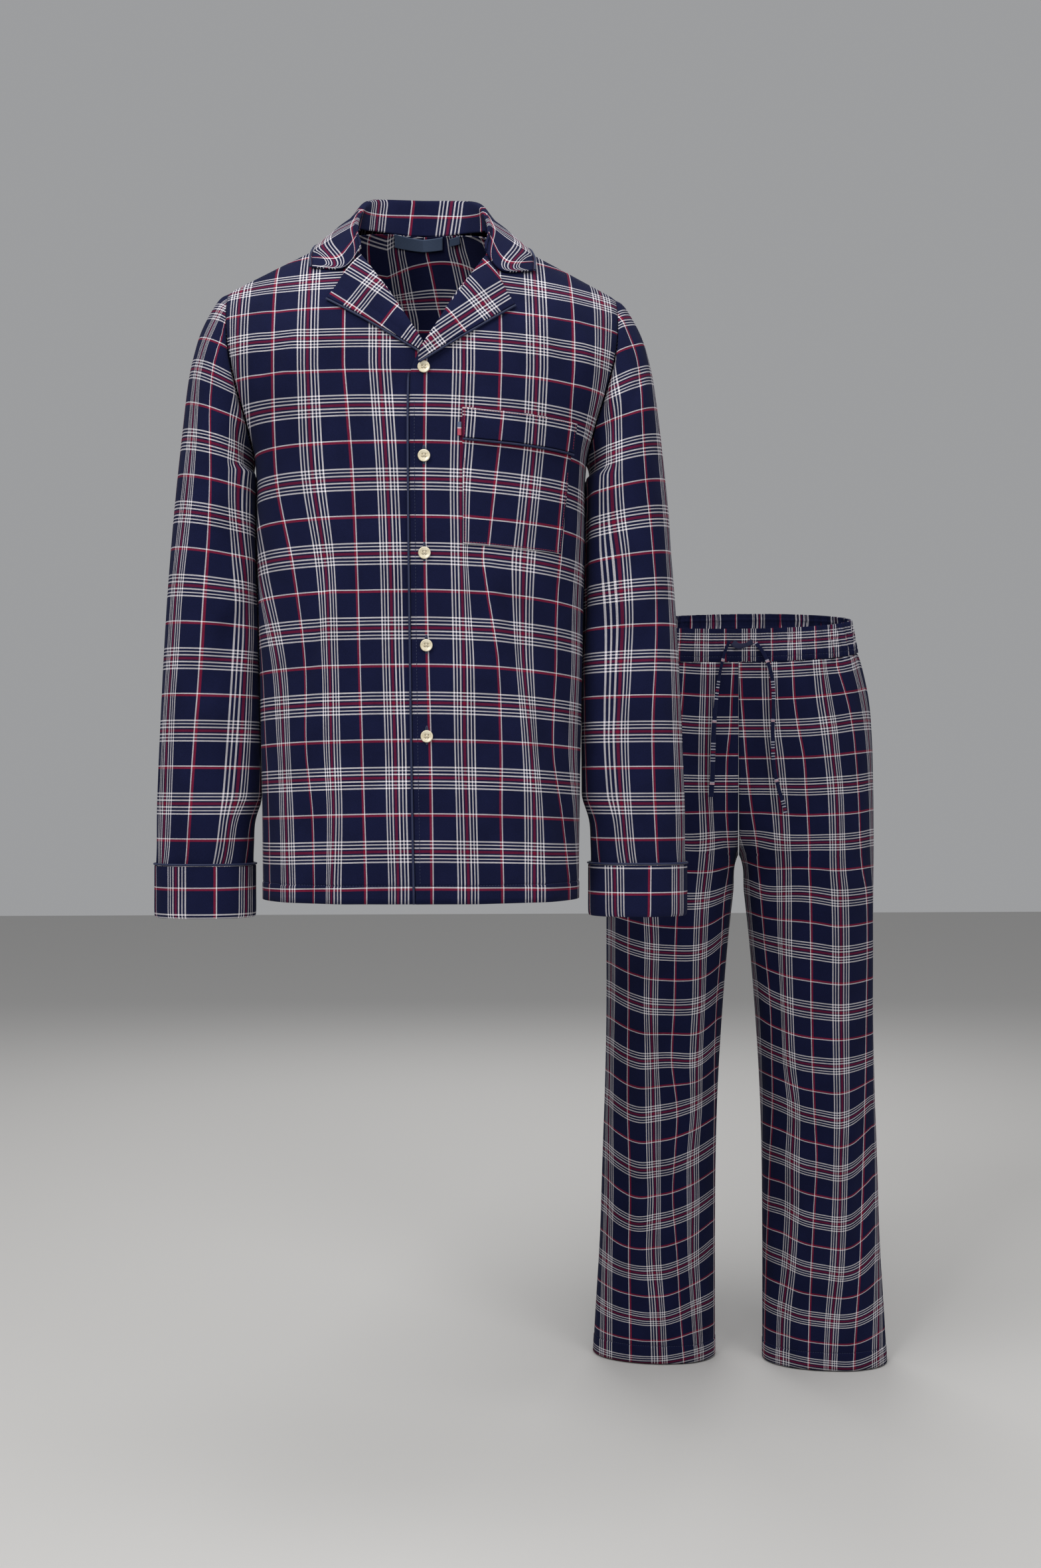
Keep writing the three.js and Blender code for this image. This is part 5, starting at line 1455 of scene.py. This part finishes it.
def leg_uv(points, name, hand, side):
    """Upright lines keep to their table on the front. Past it and on the back they keep their spacing."""
    z = points[..., 2]
    even = np.broadcast_to(np.linspace(0, 1, points.shape[1]), z.shape)
    levels = np.stack([read(LEG_BARS[name], "v", z, f"s{k}") for k in range(len(BAR_PLACES))])
    up = smooth_across(BAR_PLACES, levels, even)
    run = arc(points)
    if side > 0:
        return np.stack([hand * run / TROUSERS_PERIOD + 0.2, up], -1)
    x = points[..., 0]
    lines = LEG_LINES[name]
    low, high = read(lines, "p0", z), read(lines, "p4", z)
    across = lines_across(lines, z, np.clip(x, low, high), 0.5 if hand > 0 else -2.5, 5)
    outer, inner = (high, low) if hand > 0 else (low, high)
    start, stop = (run_at((-hand * edge).mean(1), -hand * x, run) for edge in (outer, inner))
    past = np.maximum(start - run, 0) - np.maximum(run - stop, 0)
    return np.stack([across + hand * past / TROUSERS_PERIOD, up], -1)


for hand_name, hand in (("left", 1), ("right", -1)):
    for side_name, side in (("front", -1), ("back", 1)):
        points = leg_grid(hand, side, 180, 82)
        uvs = leg_uv(points, hand_name, hand, side)
        points = in_set(with_hem(points, leg_core(hand), LEG_HEM, LEG_END))
        core = placed(leg_core(hand))
        name = f"trousers_{side_name}_{hand_name}"
        piece = cloth(name, points, uvs, CLOTH, core, sewn=[(1, 0), (1, 1), (0, 1)])
        stitches(f"{name}_hem", *hem_line(points, core, LEG_HEM, LEG_END), navy_thread)
        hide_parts(f"leg_{side_name}_{hand_name}")


# Where the elastic is stitched down, in shares of the band's height
BAND_ROWS = (0.14, 0.37, 0.6, 0.83)
BAND_LEVELS, BAND_COLUMNS = 49, 420
WAIST_TOP, WAIST_TOP_TILT = -364, {-1: -21, 1: 20}


def band_grid(side, rows, columns):
    even = np.linspace(0, 1, columns)[None, :]
    up = np.linspace(0, 1, rows)[:, None]
    angle = math.pi * even
    swing = np.sin(angle)
    low = SIDE_SEAM_TOP + WAIST_TILT[side] * swing + 0.8
    high = WAIST_TOP + WAIST_TOP_TILT[side] * swing
    z = mix(low, high, up)
    puff = 2.4 * np.sin(math.pi * (0.15 + 0.7 * up))
    for row in BAND_ROWS:
        puff = puff - 0.75 * np.exp(-(((up - row) / 0.028) ** 2))
    out = read(LEG, "out", z) + puff
    deep = read(LEG, "front" if side < 0 else "back", z) + puff
    ruck = 2 * np.pi * (21 * even + 0.2 * np.sin(9 * angle) + 0.12 * up)
    fine = 2 * np.pi * (67 * even + 0.5 * np.sin(5 * angle) + 0.2 * np.sin(6 * up))
    grow = 1 + (1.1 * np.sin(ruck) + 0.5 * np.sin(fine)) * np.minimum(1, swing * 6) / deep
    x = out * grow * power_of(np.cos(angle), LEG_POWER)
    return np.stack([x, side * (deep * grow * swing**LEG_POWER + SEAM_GAP / 2), z], -1)


def axis_core(points):
    return points * np.array([0, 0, 1])


for side_name, side in (("front", -1), ("back", 1)):
    points = band_grid(side, BAND_LEVELS, BAND_COLUMNS)
    run = arc(points)
    middle = run[:, [BAND_COLUMNS // 2]]
    height = points[..., 2] - points[:1, :, 2]
    if side < 0:
        uvs = np.stack([-(run - middle + 15.5) / 66, (height - 26) / TROUSERS_PERIOD], -1)
    else:
        uvs = np.stack([(run - middle - 37) / 70, (height - 14) / TROUSERS_PERIOD], -1)
    points = in_set(points)
    piece = cloth(f"elastic_band_{side_name}", points, uvs, BAND_CLOTH, placed(axis_core), sewn=[(0, 0)])
    out = outward(points, placed(axis_core))[0]
    for number, row in enumerate(BAND_ROWS, 1):
        at = round(row * (BAND_LEVELS - 1))
        name = f"elastic_stitches_{side_name}_{number}"
        stitches(name, points[at], out[at], navy_thread, pitch=3.6, length=2.5)
    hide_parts(f"waistband_{side_name}")


bow_line = in_set(smooth_line(BOW, 8))
bow_width = np.interp(np.linspace(0, 1, len(bow_line)), [0, 0.35, 0.7, 1], [8, 5.5, 8.5, 9])
bow_cloth = plain_cloth("tie_crossing", TIE_NAVY, 0.88)
bow = ribbon("tie_crossing", bow_line, bow_width, 2.6, 16, bow_cloth, face=TIE_FACE)
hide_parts("drawstring_bow")


# Floor and light
# A plain pale floor under the trousers' hems and soft studio light from the front and both sides.
FLOOR_Z = -1.402
floor_mesh = bpy.data.meshes.new("floor")
corners = [(x, y, FLOOR_Z) for x, y in ((-9, -7), (9, -7), (9, 9), (-9, 9))]
floor_mesh.from_pydata(corners, [], [(0, 1, 2, 3)])
floor = bpy.data.objects.new("floor", floor_mesh)
bpy.context.scene.collection.objects.link(floor)
floor_paint = new_material("floor")
set_inputs(node_tools(floor_paint)[0], [("Base Color", (0.58, 0.57, 0.555, 1)), ("Roughness", 0.9)])
floor_mesh.materials.append(floor_paint)

world = bpy.data.worlds.new("studio")
world.use_nodes = True
set_inputs(world.node_tree.nodes["Background"], [("Color", (0.93, 0.94, 0.96, 1)), ("Strength", 0.36)])
bpy.context.scene.world = world


def softbox(name, at, towards, size, power):
    lamp = bpy.data.lights.new(name, "AREA")
    lamp.shape = "RECTANGLE"
    lamp.size, lamp.size_y = size
    lamp.energy = power
    holder = bpy.data.objects.new(name, lamp)
    bpy.context.scene.collection.objects.link(holder)
    holder.location = at
    holder.rotation_euler = (Vector(towards) - Vector(at)).to_track_quat("-Z", "Y").to_euler()


softbox("key", (-1.3, -1.9, 1.45), (0.05, 0, -0.35), (1.2, 1.2), 50)
softbox("fill", (1.5, -1.7, 0.45), (0.5, 0.4, -0.65), (1.0, 1.2), 11)
softbox("front", (0, -2.7, 0.25), (0.05, 0, -0.2), (0.9, 0.9), 11)
softbox("rear", (0.3, 3.2, 1.1), (0.2, 0.2, -0.6), (2.0, 1.6), 30)
softbox("top", (0.1, -0.5, 1.9), (0.1, 0, -0.4), (1.8, 1.4), 26)
bpy.context.scene.view_settings.view_transform = "Standard"
